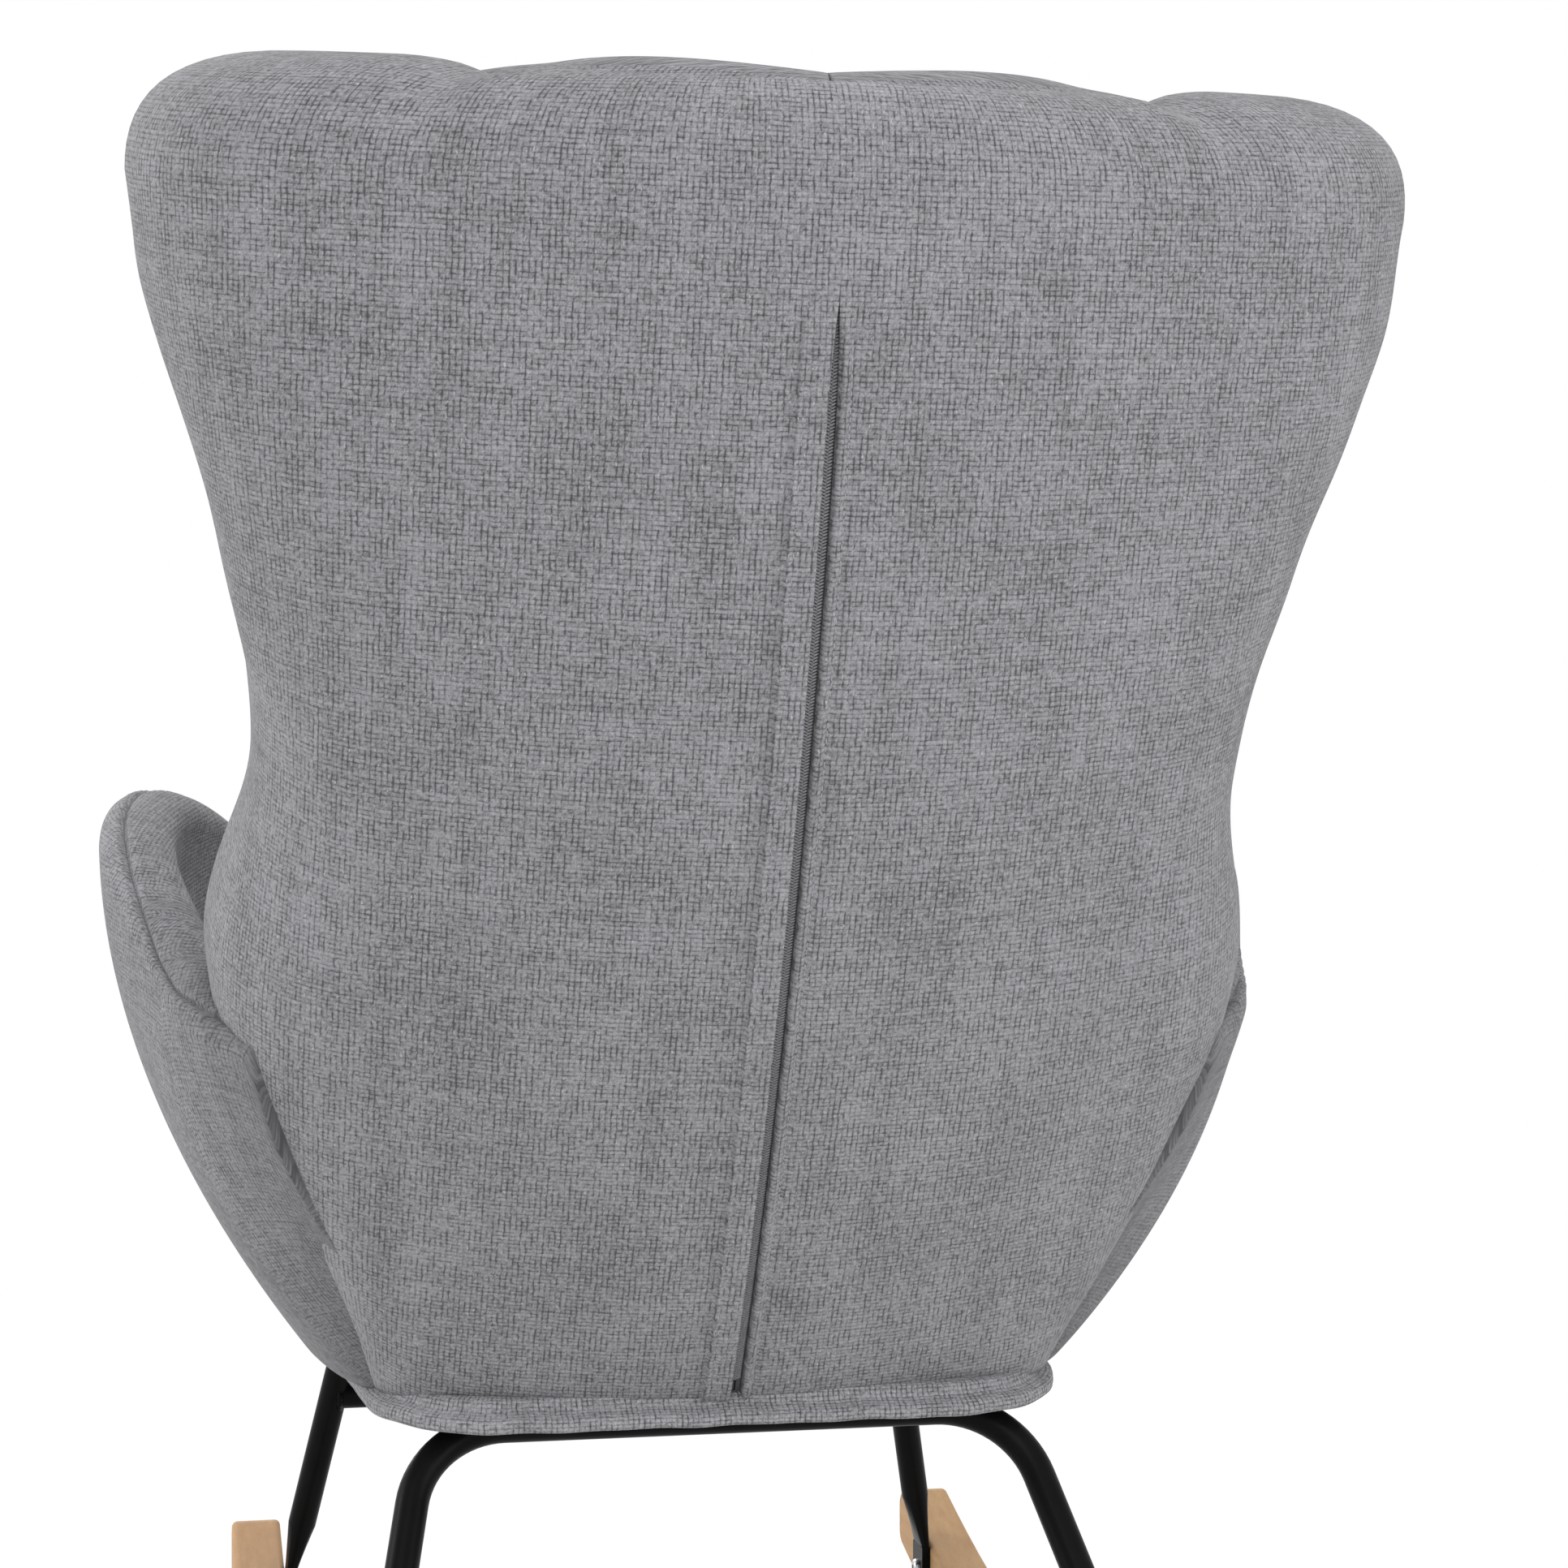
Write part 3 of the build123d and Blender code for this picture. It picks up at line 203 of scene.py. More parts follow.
def wall_reach(turn, deep):
    """X of the rear wall's outside at a depth below the middle line, and the depth of the wing's nose."""
    half, wing, bend, run, join, middle = back_section(turn)
    flat = np.sqrt(np.maximum(middle ** 2 - (middle - np.clip(deep, 0, middle)) ** 2, 0))
    curve = half - bend + np.sqrt(np.maximum(bend ** 2 - np.clip(wing - deep, 0, bend) ** 2, 0))
    return np.where(deep < middle * (1 - np.cos(join)), flat, curve), wing + run


def cloth_of_back(spots):
    """Where points of the back lie on the flat cloth: length across and length along the spine."""
    turn, deep = spine_place(spots)
    half, wing, bend, _, join, middle = back_section(np.clip(turn, LOWEST_TURN, TOP_TURN))
    x = np.abs(spots[..., 0])
    flat = np.arctan2(x, middle - deep)
    curve = np.clip(np.arctan2(x - half + bend, wing - deep), join, pi / 2)
    past_wall = middle * join + bend * (curve - join) + np.maximum(deep - wing, 0)
    across = np.where(flat < join, middle * flat, past_wall)
    return np.stack([np.sign(spots[..., 0]) * across, SPINE_RADIUS * np.radians(turn), 0 * deep], -1)


def seat_height(points):
    """Height of points over the seat board's underside, square to it."""
    return (points[..., 1] - SEAT_Y) * sin(SEAT_TILT) + (points[..., 2] - SEAT_Z) * cos(SEAT_TILT)


def foot_turn(place):
    """Angle along the spine at which each column of a back piece meets the padded seat base."""
    low = np.full_like(place(0.0)[..., 0], LOWEST_TURN)
    high = low + FOOT_SEARCH
    for _ in range(FOOT_ROUNDS):
        middle = (low + high) / 2
        above = seat_height(place(middle)) > SEAT_FLOOR
        high = np.where(above, middle, high)
        low = np.where(above, low, middle)
    return high


# Mesh helpers
def new_object(name, points, faces, material):
    data = bpy.data.meshes.new(name)
    data.from_pydata(np.asarray(points).reshape(-1, 3).tolist(), [], [tuple(face) for face in faces])
    data.materials.append(material)
    data.polygons.foreach_set("use_smooth", np.ones(len(data.polygons), bool))
    data.update()
    made = bpy.data.objects.new(name, data)
    scene.collection.objects.link(made)
    return made


def grid_faces(rows, columns, ring=False, start=0):
    index = np.arange(rows * columns).reshape(rows, columns) + start
    if ring:
        index = np.hstack([index, index[:, :1]])
    return np.stack([index[:-1, :-1], index[:-1, 1:], index[1:, 1:], index[1:, :-1]], -1).reshape(-1, 4)


def two_sheets(name, sheets, material):
    """One mesh of a left and a right sheet of points."""
    rows, columns = sheets[0].shape[:2]
    left = grid_faces(rows, columns)
    right = grid_faces(rows, columns, start=rows * columns)[:, ::-1]
    return new_object(name, np.stack(sheets), np.vstack([left, right]), material)


def grid_cloth(rings, start):
    """Flat cloth of a wrapped form: length round each ring from one column, and length along the columns."""
    across, along = running_length(rings, 1), running_length(rings)
    return np.stack([across - across[:, start:start + 1], along, 0 * along], -1)


def closed_loft(name, rings, material, flat):
    """Closed mesh through rings of points, with a fan at each end, and its place on the flat cloth."""
    count, size = rings.shape[:2]
    faces = [list(face) for face in grid_faces(count, size, ring=True)]
    ends = [rings[0].mean(0), rings[-1].mean(0)]
    foot, crown = count * size, count * size + 1
    for column in range(size):
        after = (column + 1) % size
        faces.append([foot, after, column])
        faces.append([crown, (count - 1) * size + column, (count - 1) * size + after])
    piece = new_object(name, np.vstack([rings.reshape(-1, 3), ends]), faces, material)
    lay_cloth(piece, np.vstack([flat.reshape(-1, 3), flat[0].mean(0), flat[-1].mean(0)]))
    tidy(piece)
    return piece


def tidy(piece, weld=0.00005):
    """Welds points that coincide and turns the faces outwards."""
    mesh = bmesh.new()
    mesh.from_mesh(piece.data)
    if weld:
        bmesh.ops.remove_doubles(mesh, verts=mesh.verts, dist=weld)
    bmesh.ops.recalc_face_normals(mesh, faces=mesh.faces)
    mesh.to_mesh(piece.data)
    mesh.free()


def points_of(piece):
    spots = np.empty(len(piece.data.vertices) * 3)
    piece.data.vertices.foreach_get("co", spots)
    return spots.reshape(-1, 3)


def set_points(piece, spots):
    piece.data.vertices.foreach_set("co", np.asarray(spots, float).ravel())
    piece.data.update()


def lay_cloth(piece, flat):
    """Stores where each point lies on the flat cloth, in metres, and the weight of the painted shade, from 0
    to 1.
    """
    layer = piece.data.attributes.new("weave", "FLOAT_VECTOR", "POINT")
    layer.data.foreach_set("vector", np.asarray(flat, np.float32).ravel())


def apply_modifiers(piece):
    graph = bpy.context.evaluated_depsgraph_get()
    data = bpy.data.meshes.new_from_object(piece.evaluated_get(graph))
    piece.modifiers.clear()
    piece.data = data
    data.polygons.foreach_set("use_smooth", np.ones(len(data.polygons), bool))


def soften(piece, voxel, rounds):
    """Remeshes a closed piece evenly and smooths its edges."""
    remesh = piece.modifiers.new("even", "REMESH")
    remesh.mode = "VOXEL"
    remesh.voxel_size = voxel
    smooth = piece.modifiers.new("soft", "SMOOTH")
    smooth.factor = 0.5
    smooth.iterations = rounds
    apply_modifiers(piece)


FABRIC_STIFFNESS = 12
FABRIC_BENDING = 0.6


def puff(piece, pressure, cap, frames=20):
    """Swells a padded piece with a short cloth simulation, no point moving further than the cap."""
    rest = points_of(piece)
    cloth = piece.modifiers.new("puff", "CLOTH")
    cloth.settings.use_pressure = True
    cloth.settings.uniform_pressure_force = pressure
    cloth.settings.effector_weights.gravity = 0
    cloth.settings.tension_stiffness = FABRIC_STIFFNESS
    cloth.settings.compression_stiffness = FABRIC_STIFFNESS
    cloth.settings.bending_stiffness = FABRIC_BENDING
    cloth.point_cache.frame_end = frames
    for step in range(1, frames + 1):
        scene.frame_set(step)
    graph = bpy.context.evaluated_depsgraph_get()
    swollen = piece.evaluated_get(graph).to_mesh()
    spots = np.empty(len(swollen.vertices) * 3)
    swollen.vertices.foreach_get("co", spots)
    move = spots.reshape(-1, 3) - rest
    length = np.linalg.norm(move, axis=1, keepdims=True)
    piece.modifiers.clear()
    set_points(piece, rest + move * np.minimum(1, cap / np.maximum(length, 1e-9)))
    scene.frame_set(1)


def subdivide(piece):
    fine = piece.modifiers.new("fine", "SUBSURF")
    fine.levels = 1
    fine.render_levels = 1


def copy_of(node, name, material):
    made = bpy.data.objects.new(name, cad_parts[node].data.copy())
    scene.collection.objects.link(made)
    made.data.materials.clear()
    made.data.materials.append(material)
    return made


def stand_for(piece, slot, *nodes):
    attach(piece, CHAIR)
    if nodes:
        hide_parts(*nodes)


def capsules(name, spots, directions, normals, length, radius, material, sides=6):
    """Short rounded threads lying along a line, as one mesh."""
    turns = np.linspace(0, 2 * pi, sides, endpoint=False)
    stations = ((-0.5, 0.35), (-0.36, 0.85), (0.0, 1.0), (0.36, 0.85), (0.5, 0.35))
    points, faces = [], []
    for spot, along, normal in zip(spots, directions, normals):
        across = np.cross(along, normal)
        start = len(points)
        for place, size in stations:
            for turn in turns:
                offset = across * np.cos(turn) + normal * np.sin(turn)
                points.append(spot + along * place * length + offset * size * radius)
        faces += [list(face) for face in grid_faces(len(stations), sides, ring=True, start=start)]
        faces.append(list(range(start, start + sides))[::-1])
        end = start + (len(stations) - 1) * sides
        faces.append(list(range(end, end + sides)))
    return new_object(name, points, faces, material)


# Materials
class Shade:
    """One output of a material's nodes. Arithmetic on it adds Math nodes."""

    def __init__(self, tree, output=None):
        self.tree = tree
        self.output = output

    def node(self, kind, settings=None, inputs=None, output=0):
        made = self.tree.nodes.new(kind)
        for name, value in (settings or {}).items():
            setattr(made, name, value)
        for name, value in (inputs or {}).items():
            if isinstance(value, Shade):
                self.tree.links.new(value.output, made.inputs[name])
            else:
                made.inputs[name].default_value = value
        return Shade(self.tree, made.outputs[output])

    def math(self, operation, *values):
        return self.node("ShaderNodeMath", {"operation": operation}, dict(enumerate(values)))

    def __add__(self, other):
        return self.math("ADD", self, other)

    def __radd__(self, other):
        return self.math("ADD", other, self)

    def __sub__(self, other):
        return self.math("SUBTRACT", self, other)

    def __rsub__(self, other):
        return self.math("SUBTRACT", other, self)

    def __mul__(self, other):
        return self.math("MULTIPLY", self, other)

    def __rmul__(self, other):
        return self.math("MULTIPLY", other, self)

    def __truediv__(self, other):
        return self.math("DIVIDE", self, other)

    def __pow__(self, other):
        return self.math("POWER", self, other)

    def sin(self):
        return self.math("SINE", self)

    def abs(self):
        return self.math("ABSOLUTE", self)

    def floor(self):
        return self.math("FLOOR", self)

    def above(self, edge, width):
        """0 below an edge and 1 above it, with a soft step of a given width."""
        return self.node(
            "ShaderNodeMapRange",
            {"interpolation_type": "SMOOTHSTEP"},
            {"Value": self, "From Min": edge - width / 2, "From Max": edge + width / 2},
        )

    def parts(self):
        split = self.node("ShaderNodeSeparateXYZ", None, {0: self})
        return [Shade(self.tree, output) for output in split.output.node.outputs]

    def vector(self, x, y, z):
        return self.node("ShaderNodeCombineXYZ", None, {"X": x, "Y": y, "Z": z})

    def noise(self, where, scale, detail=2.0, rough=0.5):
        inputs = {"Vector": where, "Scale": scale, "Detail": detail, "Roughness": rough}
        return self.node("ShaderNodeTexNoise", {"noise_dimensions": "3D"}, inputs)

    def grain(self, x, y, z, detail=2.0, rough=0.5):
        """Noise over three counts of its own."""
        return self.noise(self.vector(x, y, z), 1.0, detail, rough)

    def blend(self, share, first, second):
        """Mixes two colours."""
        return self.node("ShaderNodeMix", {"data_type": "RGBA"}, {0: share, 6: first, 7: second}, 2)

    def bump(self, height, strength, distance):
        inputs = {"Height": height, "Strength": strength, "Distance": distance}
        return self.node("ShaderNodeBump", None, inputs)

    def place(self):
        """Place on the piece, in metres."""
        return self.node("ShaderNodeTexCoord", None, None, "Object")


def new_material(name, look):
    """Material whose Principled sockets take what the look function gives them."""
    made = bpy.data.materials.new(name)
    made.use_nodes = True
    tree = made.node_tree
    shader = tree.nodes["Principled BSDF"]
    for socket, value in look(Shade(tree)).items():
        if isinstance(value, Shade):
            tree.links.new(value.output, shader.inputs[socket])
        else:
            shader.inputs[socket].default_value = value
    return made


COOL_TINGE = 1.055


def grey(level):
    return (level, level, level * COOL_TINGE, 1.0)


WARP_PITCH = 0.0031
WEFT_PITCH = 0.0026


def woven_look(dark, light, relief):
    """Slubby plain weave: pillows at the crossings, uneven yarns of short fibres, dark gaps, pale flecks,
    and painted shade where an arm meets the back.
    """

    def look(s):
        cloth = s.node("ShaderNodeAttribute", {"attribute_name": "weave"}, None, "Vector")
        # Across and along the flat cloth, and the weight of the painted shade
        across, along, painted_shade = cloth.parts()
        # Each grain has its spots for a metre across and along, and a number that sets it apart
        drift = s.grain(across * 40.0, along * 150.0, 1.0) - 0.5
        sway = s.grain(across * 150.0, along * 40.0, 3.0) - 0.5
        warp = across / WARP_PITCH + drift * 0.5
        weft = along / WEFT_PITCH + sway * 0.5
        warp_wave = (warp * pi).sin()
        weft_wave = (weft * pi).sin()
        crossing = warp_wave * weft_wave
        pillow = crossing.abs() ** 0.5
        on_top = crossing.above(0.0, 0.4)
        warp_yarn = s.grain(warp.floor() * 3.7, along * 70.0, 1.0)
        weft_yarn = s.grain(across * 70.0, weft.floor() * 3.7, 9.0)
        yarn = warp_yarn * on_top + weft_yarn * (1 - on_top)
        twist = s.grain(across * 1100.0 + along * 500.0, along * 420.0 - across * 200.0, 0.0, 3.0, 0.75)
        fluff = s.grain(across * 420.0, along * 420.0, 5.0, 2.0, 0.6)
        streak = s.grain(across * 14.0, along * 330.0, 4.0)
        stripe = s.grain(across * 55.0, along * 5.0, 8.0)
        patch = s.noise(cloth, 14.0)
        # Some gaps between yarns are dark, others closed
        warp_line = s.grain((warp + 0.5).floor() * 5.3, along * 110.0, 2.0).above(0.5, 0.3)
        weft_line = s.grain(across * 180.0, (weft + 0.5).floor() * 5.3, 6.0).above(0.5, 0.3)
        warp_gap = (1 - warp_wave.abs()) ** 2.0
        weft_gap = (1 - weft_wave.abs()) ** 2.0
        gaps = 0.72 * warp_gap * warp_line + 0.52 * weft_gap * weft_line
        tone = 0.16 - gaps + 1.5 * (twist - 0.5) + 0.95 * (fluff - 0.5) + 0.6 * (yarn - 0.5)
        tone = tone + 0.42 * (streak - 0.5) + 0.3 * (stripe - 0.5) + 0.3 * (patch - 0.5)
        shade = tone.above(0.0, 1.25)
        fleck = s.grain(across * 620.0, along * 260.0, 7.0, 1.0).above(0.72, 0.06)
        colour = s.blend(shade, dark, light)
        colour = s.blend(fleck * 0.5, colour, grey(0.5))
        # Painted shade: the cloth is darkened where an arm nears the back, standing in for the shade in the
        # groove between them
        colour = s.blend(painted_shade * 0.55, colour, dark)
        height = pillow * (0.4 + 0.5 * yarn) + 0.7 * twist + 0.4 * fluff
        return {
            "Base Color": colour,
            "Roughness": 0.92 - 0.1 * fleck,
            "Normal": s.bump(height, relief, 0.0012),
            "Specular IOR Level": 0.25,
            "Sheen Weight": 0.1,
            "Sheen Roughness": 0.5,
        }

    return look


def black_paint(s):
    where = s.place()
    peel = s.noise(where, 260.0, 2.0)
    dust = s.noise(where, 38.0, 3.0)
    return {
        "Base Color": s.blend(dust, (0.003, 0.003, 0.0032, 1), (0.006, 0.0059, 0.0057, 1)),
        "Roughness": 0.28 + 0.1 * dust,
        "Normal": s.bump(peel, 0.05, 0.0004),
        "Specular IOR Level": 0.05,
    }


# Rockers are glued up from lengths that meet in combs of fingers
FINGER_PITCH = 0.0085
FINGER_REACH = 0.011
BOARD_LENGTH = 0.36
BOARD_START = 0.075
BOARD_SHIFT = 0.11          # the left rocker's joints lie apart from the right one's


def pale_wood(s):
    x, y, z = s.place().parts()
    comb = (s.math("PINGPONG", z / FINGER_PITCH, 1.0) - 0.5) * FINGER_REACH
    left = x.above(0.0, 0.001)
    length = (y + comb + left * BOARD_SHIFT + BOARD_START) / BOARD_LENGTH
    board = length.floor()
    joint = 1 - (length - board).above(0.003, 0.003)
    warp = s.grain(x * 9.0, y * 1.4, z * 9.0 + board * 3.1)
    rings = s.grain(x * 150.0, y * 5.0 + board * 17.0, (z + warp * 0.03) * 150.0, 4.0, 0.6)
    pores = s.grain(x * 900.0, y * 30.0, z * 900.0 + board * 5.0, 2.0, 0.6)
    tint = s.grain(board * 7.3, left * 5.0, 0.0, 0.0)
    grain = rings * 0.75 + pores * 0.3 + (tint - 0.5) * 0.7
    colour = s.blend(grain.above(0.55, 0.75), (0.355, 0.196, 0.084, 1), (0.48, 0.3, 0.15, 1))
    colour = s.blend(pores.above(0.66, 0.1) * 0.35, colour, (0.24, 0.125, 0.05, 1))
    colour = s.blend(joint * 0.7, colour, (0.2, 0.1, 0.045, 1))
    return {
        "Base Color": colour,
        "Roughness": 0.5 + 0.16 * pores,
        "Normal": s.bump(rings * 0.4 + pores * 0.5 - joint, 0.12, 0.0006),
        "Specular IOR Level": 0.3,
    }


def bright_metal(s):
    where = s.place()
    brushed = s.noise(where, 900.0, 3.0)
    return {
        "Base Color": s.blend(brushed, (0.42, 0.42, 0.43, 1), (0.66, 0.66, 0.66, 1)),
        "Metallic": 1.0,
        "Roughness": 0.26 + 0.2 * brushed,
        "Normal": s.bump(brushed, 0.06, 0.0003),
    }


def dark_metal(s):
    where = s.place()
    worn = s.noise(where, 700.0, 3.0)
    return {
        "Base Color": s.blend(worn, (0.05, 0.05, 0.052, 1), (0.12, 0.12, 0.12, 1)),
        "Metallic": 1.0,
        "Roughness": 0.4 + 0.2 * worn,
    }


def plain_weave(dark, light, scale, rough):
    """Fine dull cloth or wood sheet that hardly shows."""

    def look(s):
        where = s.place()
        x, y, _ = where.parts()
        ribs = ((x * scale).sin() * (y * scale).sin()).abs()
        fluff = s.noise(where, 700.0, 3.0)
        return {
            "Base Color": s.blend(0.5 * ribs + 0.5 * fluff, dark, light),
            "Roughness": rough + 0.1 * fluff,
            "Normal": s.bump(ribs + fluff, 0.2, 0.0005),
        }

    return look


def layered_board(s):
    x, y, z = s.place().parts()
    grain = s.grain(x * 120.0, y * 6.0, z * 700.0, 4.0)
    return {
        "Base Color": s.blend(grain, (0.33, 0.2, 0.105, 1), (0.55, 0.39, 0.23, 1)),
        "Roughness": 0.6 + 0.15 * grain,
        "Normal": s.bump(grain, 0.15, 0.0005),
    }


PANEL_CLOTH = new_material("grey_cloth", woven_look(grey(0.064), grey(0.33), 0.8))
# Painted light: the rim's cloth is the back's grey cloth given lighter tones, a lit copy standing in for the
# light that falls on the rim
RIM_CLOTH_PAINTED_LIGHTER = new_material("rim_cloth_painted_lighter", woven_look(grey(0.07), grey(0.39), 0.9))
THREAD = new_material("sewing_thread", plain_weave(grey(0.2), grey(0.42), 4000.0, 0.7))
BLACK_STEEL = new_material("black_steel_paint", black_paint)
ROCKER_WOOD = new_material("oiled_pale_wood", pale_wood)
BRIGHT_STEEL = new_material("zinc_plated_steel", bright_metal)
PLYWOOD = new_material("plywood", layered_board)
WEBBING = new_material("elastic_webbing", plain_weave(grey(0.012), grey(0.05), 1500.0, 0.8))
DUST_CLOTH = new_material("black_dust_cloth", plain_weave(grey(0.008), grey(0.03), 2600.0, 0.9))
ZIP_NYLON = new_material("zip_nylon", plain_weave(grey(0.2), grey(0.38), 3000.0, 0.5))
ZIP_TAPE = new_material("zip_tape", plain_weave(grey(0.08), grey(0.15), 2400.0, 0.85))
DARK_METAL = new_material("dark_zip_metal", dark_metal)

NODE_MATERIALS = {
    BLACK_STEEL: (
        "rear_leg_frame", "left_side_tube", "right_side_tube", "front_stretcher",
        "back_frame", "left_arm_frame", "right_arm_frame",
    ),
    ROCKER_WOOD: ("left_rocker", "right_rocker"),
    BRIGHT_STEEL: (
        "rocker_bolts", "rocker_inserts", "seat_bolts", "tee_nuts", "back_screws", "arm_screws",
    ),
    DARK_METAL: ("zip_slider", "zip_stops"),
    PLYWOOD: ("seat_board",),
    WEBBING: ("back_webbing",),
}


def finish_nodes():
    for material, nodes in NODE_MATERIALS.items():
        for node in nodes:
            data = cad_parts[node].data
            data.materials.clear()
            data.materials.append(material)


# Rear panel
# Columns of half the panel near the zip: distance from the slot's edge
NEAR_COLUMNS = np.array([
    0.0, 0.0, 0.0003, 0.001, 0.002, 0.0032, 0.0045, 0.0065, 0.0095, 0.0125, 0.0142,
    0.0152, 0.0159, 0.0166, 0.0174, 0.0186, 0.021, 0.025, 0.031,
])
FOLD_DEPTHS = np.array([0.0056, 0.0027, 0.0010, 0.0002])
PLAIN_COLUMNS = 46
NOSE_STEPS = 7
NOSE_BULGE = 0.45
NOSE_TURN = 19.5            # above this angle the turned-in strip narrows and drops
NOSE_THIN = 0.75            # share of its thickness the nose loses at the top
NOSE_RETURN = (0.008, 0.02, 0.034)
RETURN_SHRINK = 0.9
RETURN_DROP = 0.5           # degrees by which the turned-in strip stays below the panel's top
STITCH_LENGTH = 0.0032
STITCH_PITCH = 0.0043
STITCH_RADIUS = 0.00045
STITCH_LIFT = 0.0001
STITCH_MARGIN = 0.5         # degrees left free at both ends of the zip
# Side of the slot, distance from its edge and height over the panel
STITCH_ROWS = ((1, 0.0125, 0.0013), (1, 0.0150, 0.0019), (-1, 0.0064, -0.0010))
FLAP_EDGE = (0.0012, 0.0003)   # the flap's edge slopes from before its width to past it
FLAP_FADE = 0.5             # degrees below the zip's top over which the flap flattens
# Height and half width of the dent along the flap's stitches, of the ridge on the other side of the slot
# and of the dent along the stitches there
FLAP_DENT = (0.0008, 0.0012)
RIDGE = (0.0021, 0.0021)
RIDGE_DENT = (0.0014, 0.0014)
RIDGE_PLACE = 0.0028
PANEL_ROWS = 120
OVER_ROWS = 14
OVER_SHARE = 0.995          # the last row stays just short of the crest
HEM_TUCK = 0.0025
HEM_FADE = 1.2              # rows
PANEL_SKIN = 0.0022
# Unevenness of cloth over foam: height, then the waves across and up the panel, each with its shift
PANEL_SWELLS = (
    (0.0011, 21.0, 0.35, 0.0, 0.62, 1.1),
    (0.0007, 47.0, -0.9, 0.6, 1.3, 0.0),
)
SWELL_START = (0.02, 0.09)  # lengths from the middle line over which it sets in
# Puckers beside the zip
ZIP_PUCKER_HEIGHT = 0.0005
ZIP_PUCKER_WAVES = 19.0
ZIP_PUCKER_SHIFT = 0.8      # the two sides' puckers lie apart
ZIP_PUCKER_PLACE = 0.02
ZIP_PUCKER_WIDTH = 0.0245


def zip_open(turn):
    """1 along the zip and 0 above its top."""
    return 1 - smooth_step(turn, ZIP_TOP - FLAP_FADE, ZIP_TOP)


def half_slot(turn):
    """Half the slot's width. Above the zip the two edges meet."""
    return SLOT_WIDTH / 2 * (1 - np.exp(-np.maximum(ZIP_TOP - turn, 0) / SLOT_TAPER))


def near_depth(column, distance, side, turn):
    """Depth of the cloth beside the zip: folded edge, then a raised flap or a narrow ridge."""
    depth = FOLD_DEPTHS[column] if column < len(FOLD_DEPTHS) else 0.0
    if side > 0:
        before, past = FLAP_EDGE
        depth -= FLAP_RAISE * (1 - smooth_step(distance, FLAP_WIDTH - before, FLAP_WIDTH + past))
        depth += FLAP_DENT[0] * bell(distance - STITCH_ROWS[0][1], FLAP_DENT[1])
    else:
        depth -= RIDGE[0] * bell(distance - RIDGE_PLACE, RIDGE[1])
        depth += RIDGE_DENT[0] * bell(distance - STITCH_ROWS[2][1], RIDGE_DENT[1])
    return depth * zip_open(turn)


def panel_swell(turn, along):
    """Height of the gentle swells of the panel and of the puckers beside its zip."""
    swell = 0.0
    for height, across, slant, shift, up, start in PANEL_SWELLS:
        swell = swell + height * np.sin(along * across + turn * slant + shift) * np.sin(turn * up + start)
    length = np.abs(along)
    wave = np.sin(turn * ZIP_PUCKER_WAVES + np.sign(along) * ZIP_PUCKER_SHIFT)
    pucker = ZIP_PUCKER_HEIGHT * wave * bell(length - ZIP_PUCKER_PLACE, ZIP_PUCKER_WIDTH)
    return swell * smooth_step(length, *SWELL_START) + pucker * zip_open(turn)


# Top edge of the panel: degrees by which it lies off the plain roll, in the middle, at the channels' seams
# and on the wings
CREST_MIDDLE = -0.07
CREST_NOTCH = -0.20
CREST_WING = 0.05
CREST_TURN = 20.2           # the edge leaves the plain roll above this angle
NOTCH_WIDTH = 0.013
WING_RISE = 0.05
# Cloth past the top edge: degrees down and depth towards the channels
CREST_TUCK = (
    (0.0, 0.006), (-0.06, 0.011), (-0.16, 0.014), (-0.3, 0.0152), (-0.5, 0.0156), (-0.8, 0.0158),
)


def panel_crest(turn, along):
    """Degrees by which the panel's top edge is raised at a length along the wall."""
    notch = CHANNEL_SPLIT * back_lengths(turn)[0]
    length = np.abs(along)
    level = CREST_MIDDLE + (CREST_WING - CREST_MIDDLE) * smooth_step(length, notch, notch + WING_RISE)
    level = level + (CREST_NOTCH - CREST_MIDDLE) * bell(length - notch, NOTCH_WIDTH)
    return level * smooth_step(turn, CREST_TURN, TOP_TURN)


def panel_column(column, side):
    """Function that places one column of the panel at any angle along the spine."""
    near = len(NEAR_COLUMNS)
    plain = near + PLAIN_COLUMNS
    turned_in = min(max((column - plain + 1) / NOSE_STEPS, 0), 1)

    def place(turn, drop=0.0, tuck=0.0):
        turn = np.asarray(turn, float)
        to_nose = back_lengths(turn)[2]
        roll = top_roll(turn)
        near_top = smooth_step(turn, NOSE_TURN, TOP_TURN)
        thick = COVER_THICKNESS * (1 - NOSE_THIN * roll)
        slot = half_slot(turn)
        depth = CREST_ROLL * roll
        if column < near:
            along = slot + NEAR_COLUMNS[column]
            depth = depth + near_depth(column, NEAR_COLUMNS[column], side, turn)
        elif column < plain:
            start = slot + NEAR_COLUMNS[-1]
            along = start + (column - near + 1) / PLAIN_COLUMNS * (to_nose - start)
        elif column < plain + NOSE_STEPS:
            along = to_nose + NOSE_BULGE * thick * sin(pi * turned_in)
            depth = depth + thick / 2 * (1 - cos(pi * turned_in))
        else:
            along = to_nose - NOSE_RETURN[column - plain - NOSE_STEPS] * (1 - RETURN_SHRINK * near_top)
            depth = depth + thick
        depth = depth - panel_swell(turn, side * along) + tuck * (1 - turned_in)
        lift = panel_crest(turn, along) - RETURN_DROP * turned_in * near_top
        return wall_point(turn, side * along, depth, lift + drop)

    return place


def cloth_of_panel(half):
    """Flat cloth of half the panel, laid by its length where it rolls over the top."""
    flat = cloth_of_back(half)
    top = PANEL_ROWS - 1
    flat[top:, :, 0] = flat[top, :, 0]
    flat[top:, :, 1] = flat[top, :, 1] + running_length(half[top:])
    return flat


